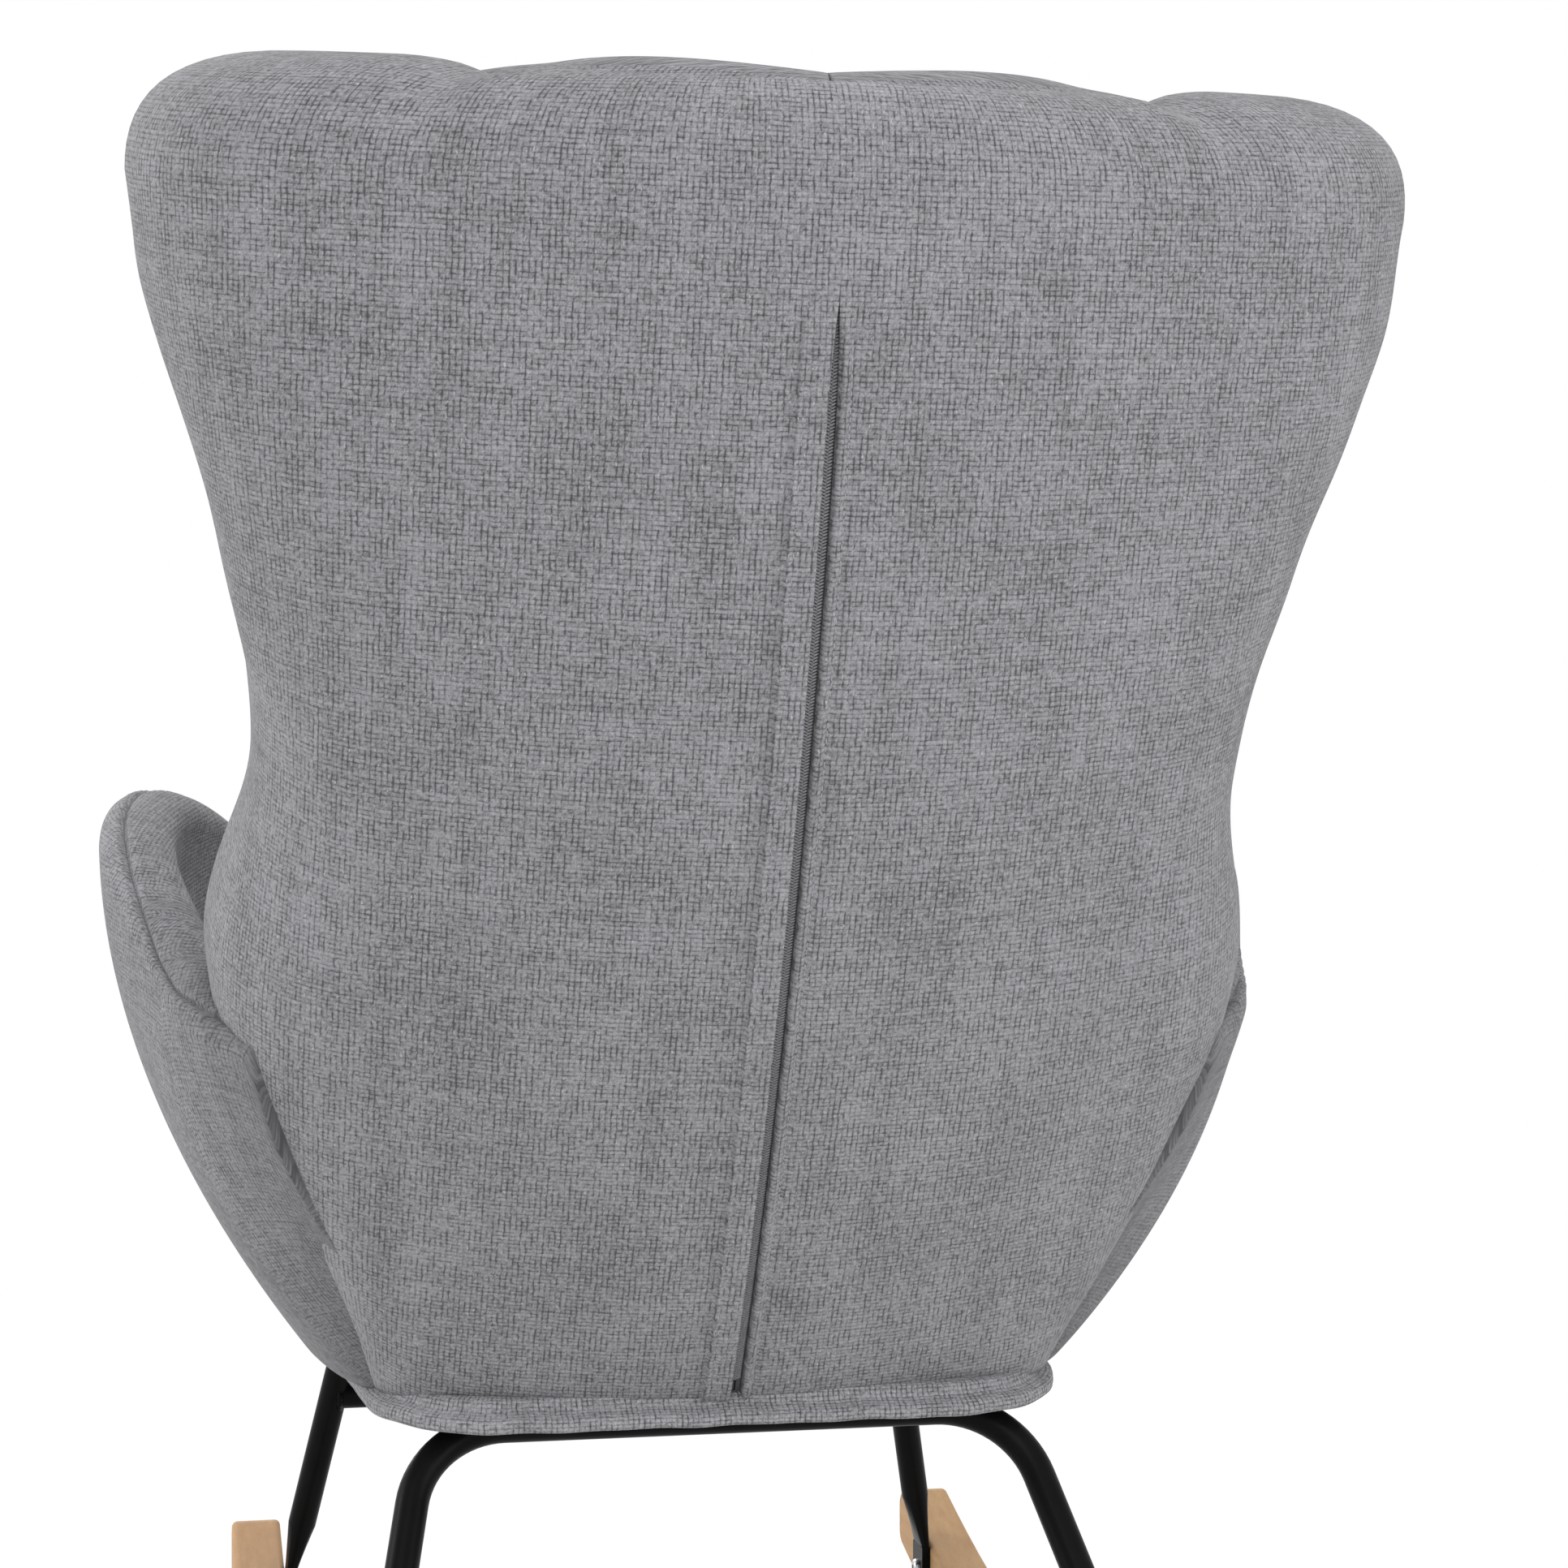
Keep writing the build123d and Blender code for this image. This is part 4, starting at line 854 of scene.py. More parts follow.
def rear_panel():
    """Rear cover in two halves, from the zip to the wings' noses, with its hem at the foot."""
    columns = len(NEAR_COLUMNS) + PLAIN_COLUMNS + NOSE_STEPS + len(NOSE_RETURN)
    rise = np.linspace(0, 1, PANEL_ROWS)
    roll = np.sin(np.linspace(0, pi / 2, OVER_ROWS + 1)[1:] * OVER_SHARE)
    over = PLAIN_TURN + (TOP_TURN - PLAIN_TURN) * roll
    hem = HEM_TUCK * np.exp(-np.arange(PANEL_ROWS + OVER_ROWS) / HEM_FADE)
    near_foot = foot_turn(panel_column(len(FOLD_DEPTHS), 1))
    halves = []
    for side in (1, -1):
        half = []
        for column in range(columns):
            place = panel_column(column, side)
            foot = foot_turn(place) if column > len(FOLD_DEPTHS) else near_foot
            turns = np.concatenate([foot + (PLAIN_TURN - foot) * rise, over])
            angles = np.radians(SPINE_SEAM + turns)
            inward = np.stack([0 * turns, -np.cos(angles), -np.sin(angles)], -1)
            over_edge = [place(turns[-1], *step) for step in CREST_TUCK]
            half.append(np.vstack([place(turns) + inward * hem[:, None], over_edge]))
        halves.append(np.stack(half, 1))
    panel = two_sheets("rear_panel", halves, PANEL_CLOTH)
    lay_cloth(panel, [cloth_of_panel(half) for half in halves])
    tidy(panel)
    skin = panel.modifiers.new("cloth", "SOLIDIFY")
    skin.thickness = PANEL_SKIN
    skin.offset = -1
    stand_for(panel, "grey_fabric", "rear_cover")


SPINE_STEP = 0.05           # degrees


def spine_line(turns, along, depth):
    """Points up the back at a length from the middle line, and the way on from each."""
    line = wall_point(turns, along, depth)
    return line, unit(wall_point(turns + SPINE_STEP, along, depth) - line)


def zip_stitching():
    pitch = np.degrees(STITCH_PITCH / SPINE_RADIUS)
    turns = np.arange(ZIP_FOOT + STITCH_MARGIN, ZIP_TOP - STITCH_MARGIN, pitch)
    spots, directions, normals = [], [], []
    for side, distance, lift in STITCH_ROWS:
        along = side * (half_slot(turns) + distance)
        line, onward = spine_line(turns, along, -lift - STITCH_LIFT)
        spots.append(line)
        directions.append(onward)
        normals.append(unit(line - wall_point(turns, along, COVER_THICKNESS)))
    made = capsules(
        "zip_stitching", np.vstack(spots), np.vstack(directions), np.vstack(normals),
        STITCH_LENGTH, STITCH_RADIUS, THREAD,
    )
    stand_for(made, "grey_fabric")


TOOTH_PITCH = 0.0017
TOOTH_LENGTH = 0.0033
TOOTH_RADIUS = 0.00066
TOOTH_DEPTH = 0.0050
TOOTH_OFFSET = 0.0011
TOOTH_SLANT = 0.45
TEETH_MARGIN = (0.05, 0.2)  # degrees left free at the foot and at the top of the zip


def zip_teeth():
    """The coil's turns, seen as a herringbone in the slot."""
    pitch = np.degrees(TOOTH_PITCH / SPINE_RADIUS)
    turns = np.arange(ZIP_FOOT + TEETH_MARGIN[0], ZIP_TOP - TEETH_MARGIN[1], pitch)
    spots, directions, normals = [], [], []
    for side in (1, -1):
        shift = 0.0 if side > 0 else pitch / 2
        line, up = spine_line(turns + shift, np.full_like(turns, side * TOOTH_OFFSET), TOOTH_DEPTH)
        across = np.tile((side, 0.0, 0.0), (len(turns), 1))
        spots.append(line)
        directions.append(across * cos(TOOTH_SLANT) + up * sin(TOOTH_SLANT))
        normals.append(np.cross(up, across))
    made = capsules(
        "zip_teeth", np.vstack(spots), np.vstack(directions), np.vstack(normals),
        TOOTH_LENGTH, TOOTH_RADIUS, ZIP_NYLON,
    )
    stand_for(made, "zip_nylon", "zip_coils")


TAPE_WIDTH = 0.013
TAPE_GAP = 0.0004
TAPE_FOOT = -0.2            # degrees
TAPE_THICKNESS = 0.0006
TAPE_ROWS = 140
TAPE_COLUMNS = 8


def zip_tapes():
    """Two woven tapes that carry the teeth, sewn to the folds on both sides of the slot."""
    turns = np.linspace(TAPE_FOOT, ZIP_TOP, TAPE_ROWS)
    across = np.linspace(TAPE_GAP, TAPE_GAP + TAPE_WIDTH, TAPE_COLUMNS)
    depth = TOOTH_DEPTH + TOOTH_RADIUS
    strips = [wall_point(turns[:, None], side * across[None], depth) for side in (1, -1)]
    made = two_sheets("zip_tape_strips", strips, ZIP_TAPE)
    tidy(made, weld=0)
    made.modifiers.new("tape", "SOLIDIFY").thickness = TAPE_THICKNESS
    stand_for(made, "zip_nylon", "zip_tapes")


# Channels on the front of the back
CHANNEL_ROWS = 90
CHANNEL_COLUMNS = 26
CHANNEL_CROWN = 0.013
CHANNEL_GAP = -0.0004       # the middle channels press on each other
CHANNEL_HEART = 0.42        # depth to which a channel closes at its top, as a share
SEAM_THICKNESS = 0.3        # share of its thickness a channel keeps at the seams
# Tops of the channels against the rear panel's plain top edge, in degrees along the spine
MIDDLE_SEAM_TOP = 0.05
OUTER_SEAM_TOP = -0.22
CHANNEL_CREST = 0.18
WING_TOP = -0.14
WING_NOSE_DROP = 0.2
CHANNEL_ROUND = 0.55        # degrees over which a middle channel closes at its top
WING_ROUND = 1.0
ROUND_ROWS = 10
ROUND_START = 0.97          # share of its thickness with which a channel's rounding starts
WING_GAP = 0.0006
WING_INSET = 0.0008         # room between a wing channel and the cover
WING_ROLL = 0.022
WING_ROOT = 0.014           # thickness at the seam beside the middle channel
WING_TIP = (0.016, 0.007)   # how far the front face ends in from the nose, and past it
WING_BULGE = 0.03
WING_CROWN = 0.006
WING_PUFF = 0.55
WING_FLATTEN = 0.35         # share of the bulge that is lost at the top
WING_TURN_IN = (0.8, 1.0)   # share of its width over which the rear face nears the cover
WING_DROP = (0.35, 1.0)     # and over which its top drops towards the nose
WING_BACK_COUNT = 40
WING_FRONT_COUNT = 34


def puffed(share, power=0.5):
    """Height of a stuffed channel across its width, steep at the seams."""
    return (1 - np.abs(2 * share - 1) ** 2.6) ** power


def arched(share):
    """Height of a channel's top edge across its width, nearly level between the seams."""
    return (1 - np.abs(2 * share - 1) ** 2.0) ** 0.8


def middle_channel(side):
    share = (1 - np.cos(np.linspace(0, pi, CHANNEL_COLUMNS))) / 2
    front_share = np.concatenate([share, share[::-1][1:-1]])
    is_front = np.concatenate([np.ones(CHANNEL_COLUMNS, bool), np.zeros(CHANNEL_COLUMNS - 2, bool)])

    def place(turn, close=0.0):
        turn = np.asarray(turn, float)
        to_bend = back_lengths(np.minimum(turn, TOP_TURN))[0]
        along = CHANNEL_GAP + front_share * (CHANNEL_SPLIT * to_bend - 2 * CHANNEL_GAP)
        full = SEAM_THICKNESS + (1 - SEAM_THICKNESS) * puffed(front_share)
        thick = (PAD_FRONT - PAD_BACK) * full + CHANNEL_CROWN * puffed(front_share, 1.0)
        heart = PAD_BACK + (PAD_FRONT - PAD_BACK) * CHANNEL_HEART
        depth = np.where(is_front, PAD_BACK + thick, PAD_BACK)
        depth = heart + (depth - heart) * (1 - close)
        return wall_point(np.minimum(turn, TOP_TURN + 1), side * along, depth)

    seam = MIDDLE_SEAM_TOP + (OUTER_SEAM_TOP - MIDDLE_SEAM_TOP) * front_share
    top = TOP_TURN + seam + (CHANNEL_CREST - seam) * arched(front_share)
    name = "left_middle_channel" if side > 0 else "right_middle_channel"
    channel_mesh(name, place, top, CHANNEL_ROUND, CHANNEL_COLUMNS // 2)


def wing_channel(side):
    back = np.linspace(0, 1, WING_BACK_COUNT)
    front = np.linspace(1, 0, WING_FRONT_COUNT)
    share = np.concatenate([back, front])
    is_front = np.arange(len(share)) >= WING_BACK_COUNT

    def place(turn, close=0.0):
        turn = np.broadcast_to(np.asarray(turn, float), share.shape)
        half, wing, _, run = back_sizes(np.minimum(turn, TOP_TURN))
        to_bend, _, to_nose = back_lengths(np.minimum(turn, TOP_TURN))
        start = CHANNEL_SPLIT * to_bend + WING_GAP
        roll = top_roll(turn)
        inside = COVER_THICKNESS + WING_INSET + roll * WING_ROLL
        deep = PAD_BACK + (inside - PAD_BACK) * smooth_step(share, *WING_TURN_IN)
        x, depth = wall_spot(turn, start + share * (to_nose - start), deep)
        root = np.stack(wall_spot(turn, start, PAD_BACK + WING_ROOT), -1)
        tip = np.stack([half - inside - WING_TIP[0], wing + run + WING_TIP[1]], -1)
        line = tip - root
        normal = unit(np.stack([-line[..., 1], line[..., 0]], -1))
        bulge = WING_BULGE * puffed(share, WING_PUFF) + WING_CROWN * puffed(share, 1.0)
        bulge = bulge * (1 - WING_FLATTEN * roll)
        face = root + line * share[..., None] + normal * bulge[..., None]
        stuffed = is_front * (1 - close)
        x = x + (face[..., 0] - x) * stuffed
        depth = depth + (face[..., 1] - depth) * stuffed
        return spine_point(turn, side * x, depth)

    top = TOP_TURN + WING_TOP - WING_NOSE_DROP * smooth_step(share, *WING_DROP)
    name = "left_wing_channel" if side > 0 else "right_wing_channel"
    channel_mesh(name, place, top, WING_ROUND, WING_BACK_COUNT + WING_FRONT_COUNT // 2)


def channel_mesh(name, place, top, rounding, cloth_start):
    """Channel from its foot up, rounded over at the top within some degrees."""
    foot = foot_turn(place)
    rings = []
    for rise in np.linspace(0, 1, CHANNEL_ROWS):
        rings.append(place(foot + (top - rounding - foot) * rise))
    for turned in np.linspace(0, pi / 2, ROUND_ROWS)[1:]:
        rings.append(place(top - rounding + rounding * sin(turned), 1 - cos(turned) * ROUND_START))
    rings = np.stack(rings)
    channel = closed_loft(name + "_pad", rings, PANEL_CLOTH, grid_cloth(rings, cloth_start))
    subdivide(channel)
    stand_for(channel, "grey_fabric", name)


# Arms
# Stations along an arm: Y, then X and Z of the outer face at the foot, half way up and at the top, then the
# thickness
ARM_STATIONS = np.array([
    (0.150, 0.140, 0.277, 0.232, 0.380, 0.280, 0.486, 0.034),
    (0.105, 0.172, 0.280, 0.262, 0.392, 0.309, 0.502, 0.040),
    (0.045, 0.206, 0.284, 0.295, 0.408, 0.327, 0.528, 0.044),
    (-0.045, 0.228, 0.290, 0.319, 0.440, 0.354, 0.584, 0.046),
    (-0.135, 0.228, 0.298, 0.323, 0.456, 0.352, 0.612, 0.046),
    (-0.215, 0.221, 0.305, 0.307, 0.456, 0.328, 0.612, 0.046),
    (-0.280, 0.210, 0.311, 0.281, 0.448, 0.292, 0.582, 0.044),
    (-0.322, 0.198, 0.315, 0.252, 0.432, 0.258, 0.528, 0.036),
    (-0.336, 0.192, 0.324, 0.235, 0.426, 0.236, 0.500, 0.014),
])
ARM_RINGS = 180
# Shares of the thickness: height of the rolled top, drop of its inner edge, inner face half way up
ARM_CAP = 0.42
ARM_INNER_DROP = 0.12
ARM_INNER_SHARE = 0.93
ARM_INNER_RISE = 0.36
ARM_SQUARE = 0.86            # below 1 the rolled top is squarer than an ellipse
INNER_SPREAD = 0.28          # the padding spreads inwards over the frame's foot plates
SPREAD_END = (-0.02, 0.05)   # Y over which this fades towards the rear
# Course of the seam: Y and degrees over the rolled top, from the outer face
SEAM_COURSE = np.array([
    (-0.336, 80.0), (-0.130, 78.0), (-0.045, 68.0), (0.0, 52.0),
    (0.046, 30.0), (0.078, 30.0), (0.105, 46.0), (0.15, 60.0),
])
OUTER_COUNT = 60
INNER_COUNT = 24
BESIDE_COUNT = 6
SEAM_HALF = (0.0008, 0.0018, 0.0032, 0.0055, 0.009)
SEAM_OFFSETS = np.array([-offset for offset in reversed(SEAM_HALF)] + [0.0] + list(SEAM_HALF))
SEAM_DEPTH = 0.0026
SEAM_WIDTH = 0.0016
LIP_HEIGHT = 0.001           # swelling of the cloth beside the seam
LIP_PLACE = 0.0042
LIP_WIDTH = 0.0025
PUCKER_HEIGHT = 0.0009
PUCKER_PITCH = 0.011
PUCKER_PLACE = 0.004
PUCKER_WIDTH = 0.003
FULL_SEAM = 0.044            # thickness of the arm below which the seam's columns draw together
FLAT_SEAM = 0.03             # and below which the seam flattens
SEAM_LIMIT = 0.03            # radians that the seam keeps from both edges of the rolled top
CAP_START = 0.02             # radians left free at both edges
UNDER_COUNT = 5
TUCK_DEPTH = 0.006
DIP_FADE = 0.012             # length over which an arm's face dips towards the back
# Length over which the painted shade of the groove beside the back fades
PAINTED_SHADE_FADE = 0.024
NOSE_ROOM = 0.012
ARM_REAR_LEAN = 0.36         # the rear end follows the back's lean
LEAN_START = (0.02, 0.18)    # Y over which it does
DIP_START = (-0.02, 0.01)    # depths behind and inside the back over which the dip sets in


def smooth_rows(rows, count):
    """Rows on a smooth curve through a few, evenly spread."""
    padded = np.vstack([2 * rows[0] - rows[1], rows, 2 * rows[-1] - rows[-2]])
    spread = np.linspace(0, len(rows) - 1, count)
    index = np.minimum(spread.astype(int), len(rows) - 2)
    t = (spread - index)[:, None]
    a, b, c, d = (padded[index + step] for step in range(4))
    square, cube = 2 * a - 5 * b + 4 * c - d, 3 * b - a - 3 * c + d
    return 0.5 * (2 * b + (c - a) * t + square * t ** 2 + cube * t ** 3)


def through(first, second, third, count):
    """Points on a shallow curve through three."""
    t = np.linspace(0, 1, count)[:, None]
    return first * (1 - t) * (1 - 2 * t) + second * 4 * t * (1 - t) + third * t * (2 * t - 1)


def arm_ring(row, place):
    """Outline of an arm across its length: outer face, rolled top with the seam, inner face, foot."""
    y, thick = row[0], row[-1]
    foot, middle, top = row[1:-1].reshape(3, 2)
    inner_top = top + (-thick, -ARM_INNER_DROP * thick)
    inner_middle = middle + (-ARM_INNER_SHARE * thick, ARM_INNER_RISE * thick)
    spread = INNER_SPREAD * thick * (1 - smooth_step(y, *SPREAD_END))
    inner_foot = foot + (-thick - spread, 0)
    centre, reach = (top + inner_top) / 2, (top - inner_top) / 2
    rise = np.array([0.0, ARM_CAP * thick])
    radius = np.linalg.norm(reach)
    girth = pi * (radius + rise[1]) / 2
    seam = radians(np.interp(y, *SEAM_COURSE.T))
    offsets = SEAM_OFFSETS * min(1.0, thick / FULL_SEAM)
    near = np.clip(seam + offsets * pi / girth, SEAM_LIMIT, pi - SEAM_LIMIT)
    before = np.linspace(CAP_START, near[0], BESIDE_COUNT)[:-1]
    after = np.linspace(near[-1], pi - CAP_START, 2 * BESIDE_COUNT)[1:]
    turns = np.concatenate([before, near, after])[:, None]
    away = np.concatenate([0 * before + 1, offsets, 0 * after + 1])[:, None]
    lips = LIP_HEIGHT * bell(np.abs(away) - LIP_PLACE, LIP_WIDTH)
    crease = lips - SEAM_DEPTH * bell(away, SEAM_WIDTH)
    wave = PUCKER_HEIGHT * np.sin(place * 2 * pi / PUCKER_PITCH)
    pucker = wave * bell(np.abs(away) - PUCKER_PLACE, PUCKER_WIDTH)
    scale = 1 + (crease + pucker) / radius * min(1.0, thick / FLAT_SEAM)
    side = np.sign(np.cos(turns)) * np.abs(np.cos(turns)) ** ARM_SQUARE
    up = np.sin(turns) ** ARM_SQUARE
    cap = centre + scale * (reach * side + rise * up)
    outer = through(foot, middle, top, OUTER_COUNT)
    inner = through(inner_top, inner_middle, inner_foot, INNER_COUNT)
    under = through(inner_foot, (inner_foot + foot) / 2, foot, UNDER_COUNT + 2)[1:-1]
    x, z = np.vstack([outer, cap, inner, under]).T
    lean = ARM_REAR_LEAN * smooth_step(y, *LEAN_START)
    return np.column_stack([x, y - lean * (top[1] - z), z])


def tuck_against_back(spots):
    """Draws an arm in beside the back, what is inside to just under its skin, and tells how near it is, as
    the weight of the painted shade in the groove.
    """
    turn, deep = spine_place(spots)
    reach, nose = wall_reach(np.clip(turn, LOWEST_TURN, TOP_TURN), deep)
    x, y, z = np.moveaxis(spots, -1, 0)
    across = np.abs(x)
    gap = np.maximum(np.maximum(across - reach, -deep), deep - nose - NOSE_ROOM)
    away = np.maximum(gap, 0)
    dip = TUCK_DEPTH * np.exp(-away / DIP_FADE) * smooth_step(deep, *DIP_START)
    across = np.where(gap < 0, reach - TUCK_DEPTH, across - dip)
    return np.stack([np.sign(x) * across, y, z], -1), np.exp(-away / PAINTED_SHADE_FADE)


def cloth_of_arm(rings, painted_shade, seam_column):
    """Outer and inner panel of an arm, each cut flat from its straight foot up to the seam, with the painted
    shade beside the back.
    """
    flat = grid_cloth(rings, 0)
    height = flat[..., 0].copy()
    inner_foot = rings.shape[1] - UNDER_COUNT - 1
    height[:, seam_column:] = (height[:, inner_foot:inner_foot + 1] - height)[:, seam_column:]
    length = np.broadcast_to(flat[..., 1].mean(1, keepdims=True), height.shape)
    return np.stack([length, height, painted_shade], -1)


def arm(side):
    name = "left_arm" if side > 0 else "right_arm"
    rows = smooth_rows(ARM_STATIONS, ARM_RINGS)
    top_line = rows[:, [5, 0, 6]]
    places = running_length(top_line)
    rings = np.stack([arm_ring(row, place) for row, place in zip(rows, places)]) * (side, 1, 1)
    rings[..., 2] += np.maximum(SEAT_FLOOR - seat_height(rings), 0)
    seam_column = OUTER_COUNT + BESIDE_COUNT - 1 + len(SEAM_OFFSETS) // 2
    # The arm's nearness to the back gives the painted shade of the groove
    rings, painted_shade = tuck_against_back(rings)
    piece = closed_loft(name + "_pad", rings, PANEL_CLOTH, cloth_of_arm(rings, painted_shade, seam_column))
    subdivide(piece)
    stand_for(piece, "grey_fabric", name)


# Seat
# Corners of the seat base in its own plane, x and run behind the cross tube, with their rounding
SEAT_CORNERS = ((0.197, 0.044, 0.080), (0.226, -0.200, 0.420), (0.196, -0.438, 0.060))
CORNER_POINTS = 40
# Padded edge: distance in from the outline and height over the board's underside
RIM_PROFILE = np.array([
    (0.1200, 0.0143), (0.0600, 0.0143), (0.0300, 0.0143), (0.0130, 0.0143), (0.0094, 0.0136),
    (0.0082, 0.0106), (0.0062, 0.0082), (0.0032, 0.0070), (-0.0006, 0.0060), (-0.0030, 0.0042),
    (-0.0040, 0.0014), (-0.0030, -0.0012), (-0.0008, -0.0024), (0.0030, -0.0029), (0.0110, -0.0031),
    (0.0146, -0.0029), (0.0152, -0.0023), (0.0152, -0.0014), (0.0092, -0.0014), (0.0092, 0.0121),
    (0.0600, 0.0121), (0.1200, 0.0121),
])
RIM_SEAM = 0.010             # the rim's cloth is uneven below this height
RIM_RIPPLE = 0.0005
RIM_WAVES = (0.05, 0.19)     # lengths of the two waves of the ripple


def seat_point(x, y, z):
    """Point given in the seat's own plane, y rearwards from the cross tube."""
    rearward = SEAT_Y + y * cos(SEAT_TILT) + z * sin(SEAT_TILT)
    height = SEAT_Z - y * sin(SEAT_TILT) + z * cos(SEAT_TILT)
    return np.stack(np.broadcast_arrays(x, rearward, height), -1)


def seat_outline(step=0.004):
    """Even points round the seat base, with the direction inwards at each."""
    left = [(np.array([x, y]), radius) for x, y, radius in SEAT_CORNERS]
    right = [(np.array([-x, y]), radius) for x, y, radius in reversed(SEAT_CORNERS)]
    corners = right + left
    path = []
    for index, (corner, radius) in enumerate(corners):
        back = unit(corners[index - 1][0] - corner)
        ahead = unit(corners[(index + 1) % len(corners)][0] - corner)
        half = np.arccos(np.clip(back @ ahead, -1, 1)) / 2
        reach = radius / np.tan(half)
        t = np.linspace(0, 1, CORNER_POINTS)[:, None]
        centre = corner + unit(back + ahead) * radius / sin(half)
        start, stop = corner + back * reach - centre, corner + ahead * reach - centre
        sweep = np.arccos(np.clip(start @ stop / radius ** 2, -1, 1))
        path.append(centre + (start * np.sin((1 - t) * sweep) + stop * np.sin(t * sweep)) / sin(sweep))
    path = np.vstack(path + [path[0][:1]])
    reach = running_length(path)
    even = np.linspace(0, reach[-1], int(reach[-1] / step), endpoint=False)
    spots = np.stack([np.interp(even, reach, path[:, axis]) for axis in (0, 1)], -1)
    heading = unit(np.roll(spots, -1, 0) - np.roll(spots, 1, 0))
    inward = np.stack([heading[:, 1], -heading[:, 0]], -1)
    if np.sum(inward * spots) > 0:
        inward = -inward
    return spots, inward, even


def seat_rim():
    """Padded edge of the seat base, which swells past its outline only at the rear."""
    spots, inward, even = seat_outline()
    inset, height = RIM_PROFILE.T
    rear = np.clip(-inward[:, 1], 0, 1)[:, None]
    inset = np.where(inset < 0, inset * rear, inset)
    place = spots[:, None] + inward[:, None] * inset[..., None]
    short, long = (np.sin(even * 2 * pi / wave) for wave in RIM_WAVES)
    ripple = RIM_RIPPLE * short * long
    uneven = height + ripple[:, None] * (height < RIM_SEAM)
    rings = seat_point(place[..., 0], place[..., 1], uneven)
    rings = np.vstack([rings, rings[:1]])
    count, size = rings.shape[:2]
    # Painted light: the rim wears a lighter copy of the panel's cloth
    piece = new_object("seat_rim", rings, grid_faces(count, size, ring=True), RIM_CLOTH_PAINTED_LIGHTER)
    length = np.append(even, even[-1] + even[1])
    lay_cloth(piece, np.stack(np.broadcast_arrays(length[:, None], running_length(RIM_PROFILE), 0.0), -1))
    tidy(piece, weld=0)
    stand_for(piece, "grey_fabric", "seat_wrap")


DUST_COVER_INSET = 0.0154
DUST_COVER_HEIGHT = -0.0006
DUST_COVER_RINGS = (1.0, 0.985, 0.96, 0.92, 0.84, 0.68, 0.45, 0.2, 0.02)
DUST_COVER_SKIN = 0.0004
STAPLE_PITCH = 0.045
STAPLE_SCALLOP = 0.0012
STAPLE_RIPPLE = 0.0003
STAPLE_FADE = 0.03           # share of the way to the middle over which both fade


def dust_cover():
    """Black cloth stapled under the seat board, drawn in a little between the staples."""
    spots, inward, even = seat_outline()
    edge = spots + inward * DUST_COVER_INSET
    centre = edge.mean(0)
    scallop = STAPLE_SCALLOP * np.abs(np.sin(even * pi / STAPLE_PITCH))
    rings = []
    for share in DUST_COVER_RINGS:
        near_edge = np.exp(-((1 - share) / STAPLE_FADE))
        place = centre + (edge - centre) * share + inward * (scallop * near_edge)[:, None]
        height = DUST_COVER_HEIGHT + STAPLE_RIPPLE * near_edge * np.cos(even * 2 * pi / STAPLE_PITCH)
        rings.append(seat_point(place[:, 0], place[:, 1], height))
    rings = np.stack(rings)
    count, size = rings.shape[:2]
    faces = [list(face) for face in grid_faces(count, size, ring=True)]
    faces.append(list(range((count - 1) * size, count * size)))
    piece = new_object("dust_cloth", rings, faces, DUST_CLOTH)
    tidy(piece, weld=0)
    piece.modifiers.new("cloth", "SOLIDIFY").thickness = DUST_COVER_SKIN
    stand_for(piece, "dust_cloth", "dust_cover")
    turned = np.roll(edge, -1, 0)
    area = abs(np.sum(edge[:, 0] * turned[:, 1] - edge[:, 1] * turned[:, 0])) / 2


CUSHION_FLAT = (0.10, 0.12)  # half width and half length of the top before its edges roll over
CUSHION_ROLL = 0.05
CUSHION_WRAP = 1.3           # cloth that runs over an edge for each measure that it drops


def cloth_of_cushion(spots):
    """Cloth of the cushion, which runs on over its four edges as they drop."""
    height = seat_height(spots)
    drop = CUSHION_WRAP * (height.max() - height)
    place = spots[:, :2] - (spots[:, :2].min(0) + spots[:, :2].max(0)) / 2
    over = np.clip((np.abs(place) - CUSHION_FLAT) / CUSHION_ROLL, 0, 1) * np.sign(place)
    return np.column_stack([spots[:, :2] + over * drop[:, None], 0 * height])


def cushion():
    piece = copy_of("seat_cushion", "seat_pad", PANEL_CLOTH)
    soften(piece, voxel=0.006, rounds=6)
    puff(piece, pressure=4.0, cap=0.012)
    lay_cloth(piece, cloth_of_cushion(points_of(piece)))
    subdivide(piece)
    stand_for(piece, "grey_fabric", "seat_cushion")


# Welds
BEAD_COUNT = 12
BEAD_RADIUS = 0.0021
BEAD_INSET = 0.0035
BEAD_OVERLAP = 1.5


def weld_beads():
    """A ring of weld ripples at each end of the front stretcher."""
    low, high = (np.array(corner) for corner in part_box("front_stretcher"))
    centre, radius = (low + high) / 2, (high[2] - low[2]) / 2
    turns = np.linspace(0, 2 * pi, BEAD_COUNT, endpoint=False)
    outward = np.stack([0 * turns, np.cos(turns), np.sin(turns)], -1)
    forward = np.stack([0 * turns, -np.sin(turns), np.cos(turns)], -1)
    spots = []
    for end in (low[0] + BEAD_INSET, high[0] - BEAD_INSET):
        spots.append(np.array([end, centre[1], centre[2]]) + outward * radius)
    pitch = 2 * pi * radius / BEAD_COUNT
    made = capsules(
        "weld_beads", np.vstack(spots), np.vstack([forward] * 2), np.vstack([outward] * 2),
        BEAD_OVERLAP * pitch, BEAD_RADIUS, BLACK_STEEL, sides=10,
    )
    stand_for(made, "black_steel")


# Studio
WHITE = (1, 1, 1, 1)
FLOOR_TONE = (0.86, 0.86, 0.86, 1)
FLOOR_REACH = 8
FLOOR_GLOW = 0.86            # share of the floor's tone that doesn't depend on the lamps
FLOOR_FADE = (3.0, 4.0)      # square of the distance about which it turns wholly white, and the step's width
WORLD_LIGHT = 0.5            # strength of the world's light on the object
LAMP_AIM = (0.0, 0.0, 0.55)
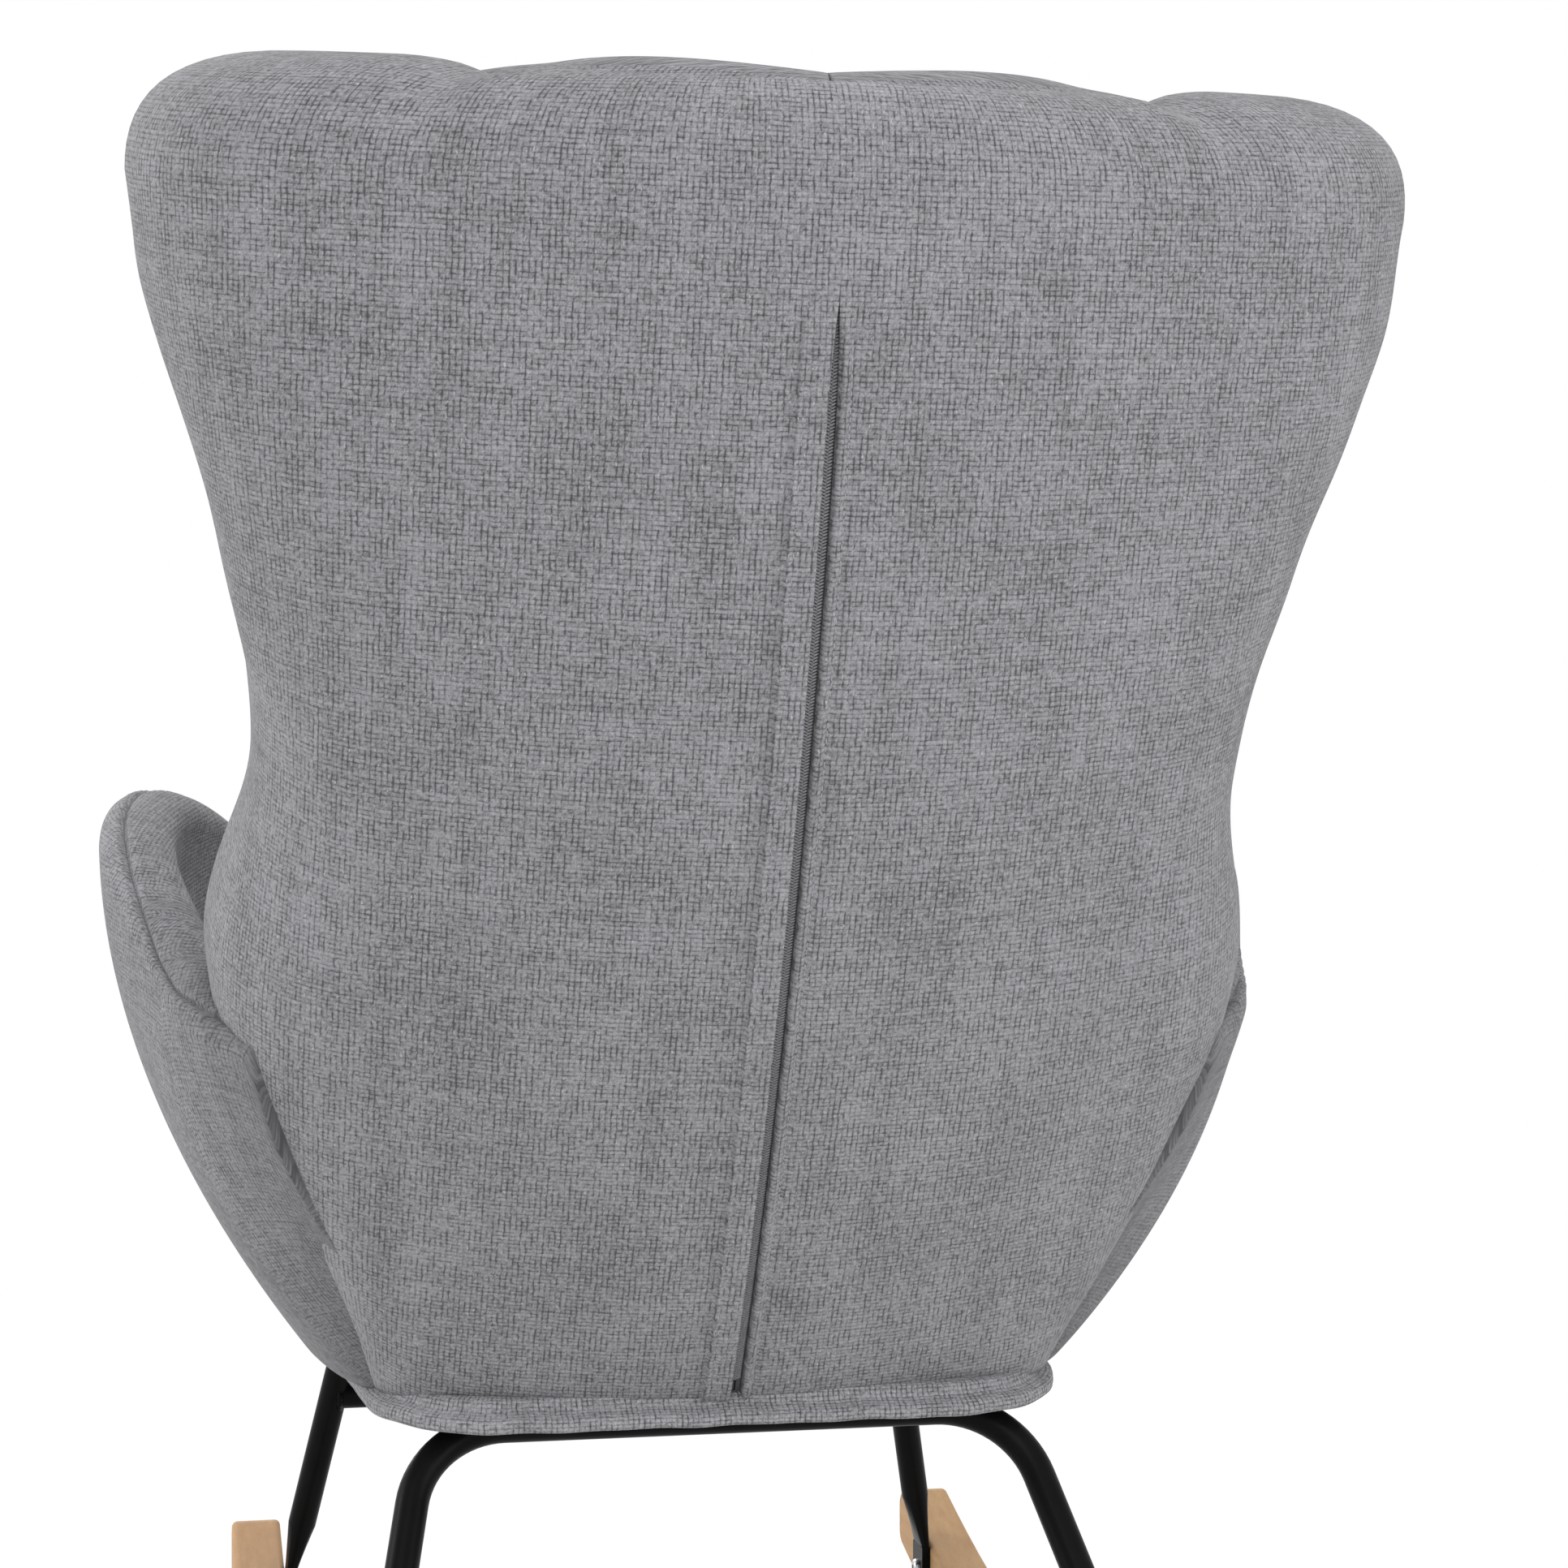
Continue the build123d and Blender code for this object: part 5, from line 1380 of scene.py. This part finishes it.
# Name, place, width and height, watts
LAMPS = (
    ("key", (0.9, 3.1, 2.4), (2.6, 2.2), 52),
    ("fill", (-2.4, 2.2, 1.4), (2.2, 2.2), 50),
    ("side", (2.9, -0.7, 1.3), (1.8, 1.8), 46),
    ("top", (0.0, 0.2, 3.2), (2.6, 2.6), 46),
    ("front", (0.4, -3.0, 1.8), (2.6, 2.2), 44),
)


def lamp(name, spot, size, power):
    data = bpy.data.lights.new(name, "AREA")
    data.shape = "RECTANGLE"
    data.size, data.size_y = size
    data.energy = power
    made = bpy.data.objects.new(name, data)
    scene.collection.objects.link(made)
    made.location = spot
    made.rotation_euler = (Vector(LAMP_AIM) - made.location).to_track_quat("-Z", "Y").to_euler()


def seen_directly(s):
    """1 for what the camera, a reflection or a glass sees, 0 for light that falls on the object."""
    paths = [s.node("ShaderNodeLightPath", None, None, name) for name in
             ("Is Camera Ray", "Is Glossy Ray", "Is Transmission Ray")]
    return paths[0].math("MAXIMUM", paths[0].math("MAXIMUM", paths[0], paths[1]), paths[2])


def studio():
    """White floor and world that keep their tone for the camera, and five plain lamps."""
    world = bpy.data.worlds.new("studio")
    scene.world = world
    world.use_nodes = True
    s = Shade(world.node_tree)
    light = world.node_tree.nodes["Background"]
    light.inputs["Color"].default_value = WHITE
    strength = WORLD_LIGHT + (1 - WORLD_LIGHT) * seen_directly(s)
    world.node_tree.links.new(strength.output, light.inputs["Strength"])
    floor_look = new_material("studio_floor", lambda s: {"Base Color": FLOOR_TONE, "Roughness": 0.9})
    tree = floor_look.node_tree
    s = Shade(tree)
    matt = Shade(tree, tree.nodes["Principled BSDF"].outputs[0])
    glow = s.node("ShaderNodeEmission", None, {"Color": WHITE, "Strength": 1.0})
    x, y, _ = s.node("ShaderNodeNewGeometry", None, None, "Position").parts()
    far = (x * x + y * y).above(*FLOOR_FADE)
    share = (FLOOR_GLOW + (1 - FLOOR_GLOW) * far) * seen_directly(s)
    mix = s.node("ShaderNodeMixShader", None, {0: share, 1: matt, 2: glow})
    tree.links.new(mix.output, tree.nodes["Material Output"].inputs["Surface"])
    reach = FLOOR_REACH
    corners = [(-reach, -reach, 0), (reach, -reach, 0), (reach, reach, 0), (-reach, reach, 0)]
    new_object("floor", corners, [(0, 1, 2, 3)], floor_look)
    for name, spot, size, power in LAMPS:
        lamp(name, spot, size, power)


def camera():
    data = bpy.data.cameras.new("photo_camera")
    data.sensor_width = CAMERA_SENSOR
    data.lens = CAMERA_LENS
    made = bpy.data.objects.new("photo_camera", data)
    scene.collection.objects.link(made)
    made.location = CAMERA_SPOT
    made.rotation_euler = (pi / 2, 0, CAMERA_YAW)
    scene.camera = made


scene.view_settings.view_transform = "Standard"
camera()
studio()
finish_nodes()
rear_panel()
zip_stitching()
zip_teeth()
zip_tapes()
for hand in (1, -1):
    middle_channel(hand)
    wing_channel(hand)
    arm(hand)
seat_rim()
cushion()
dust_cover()
weld_beads()
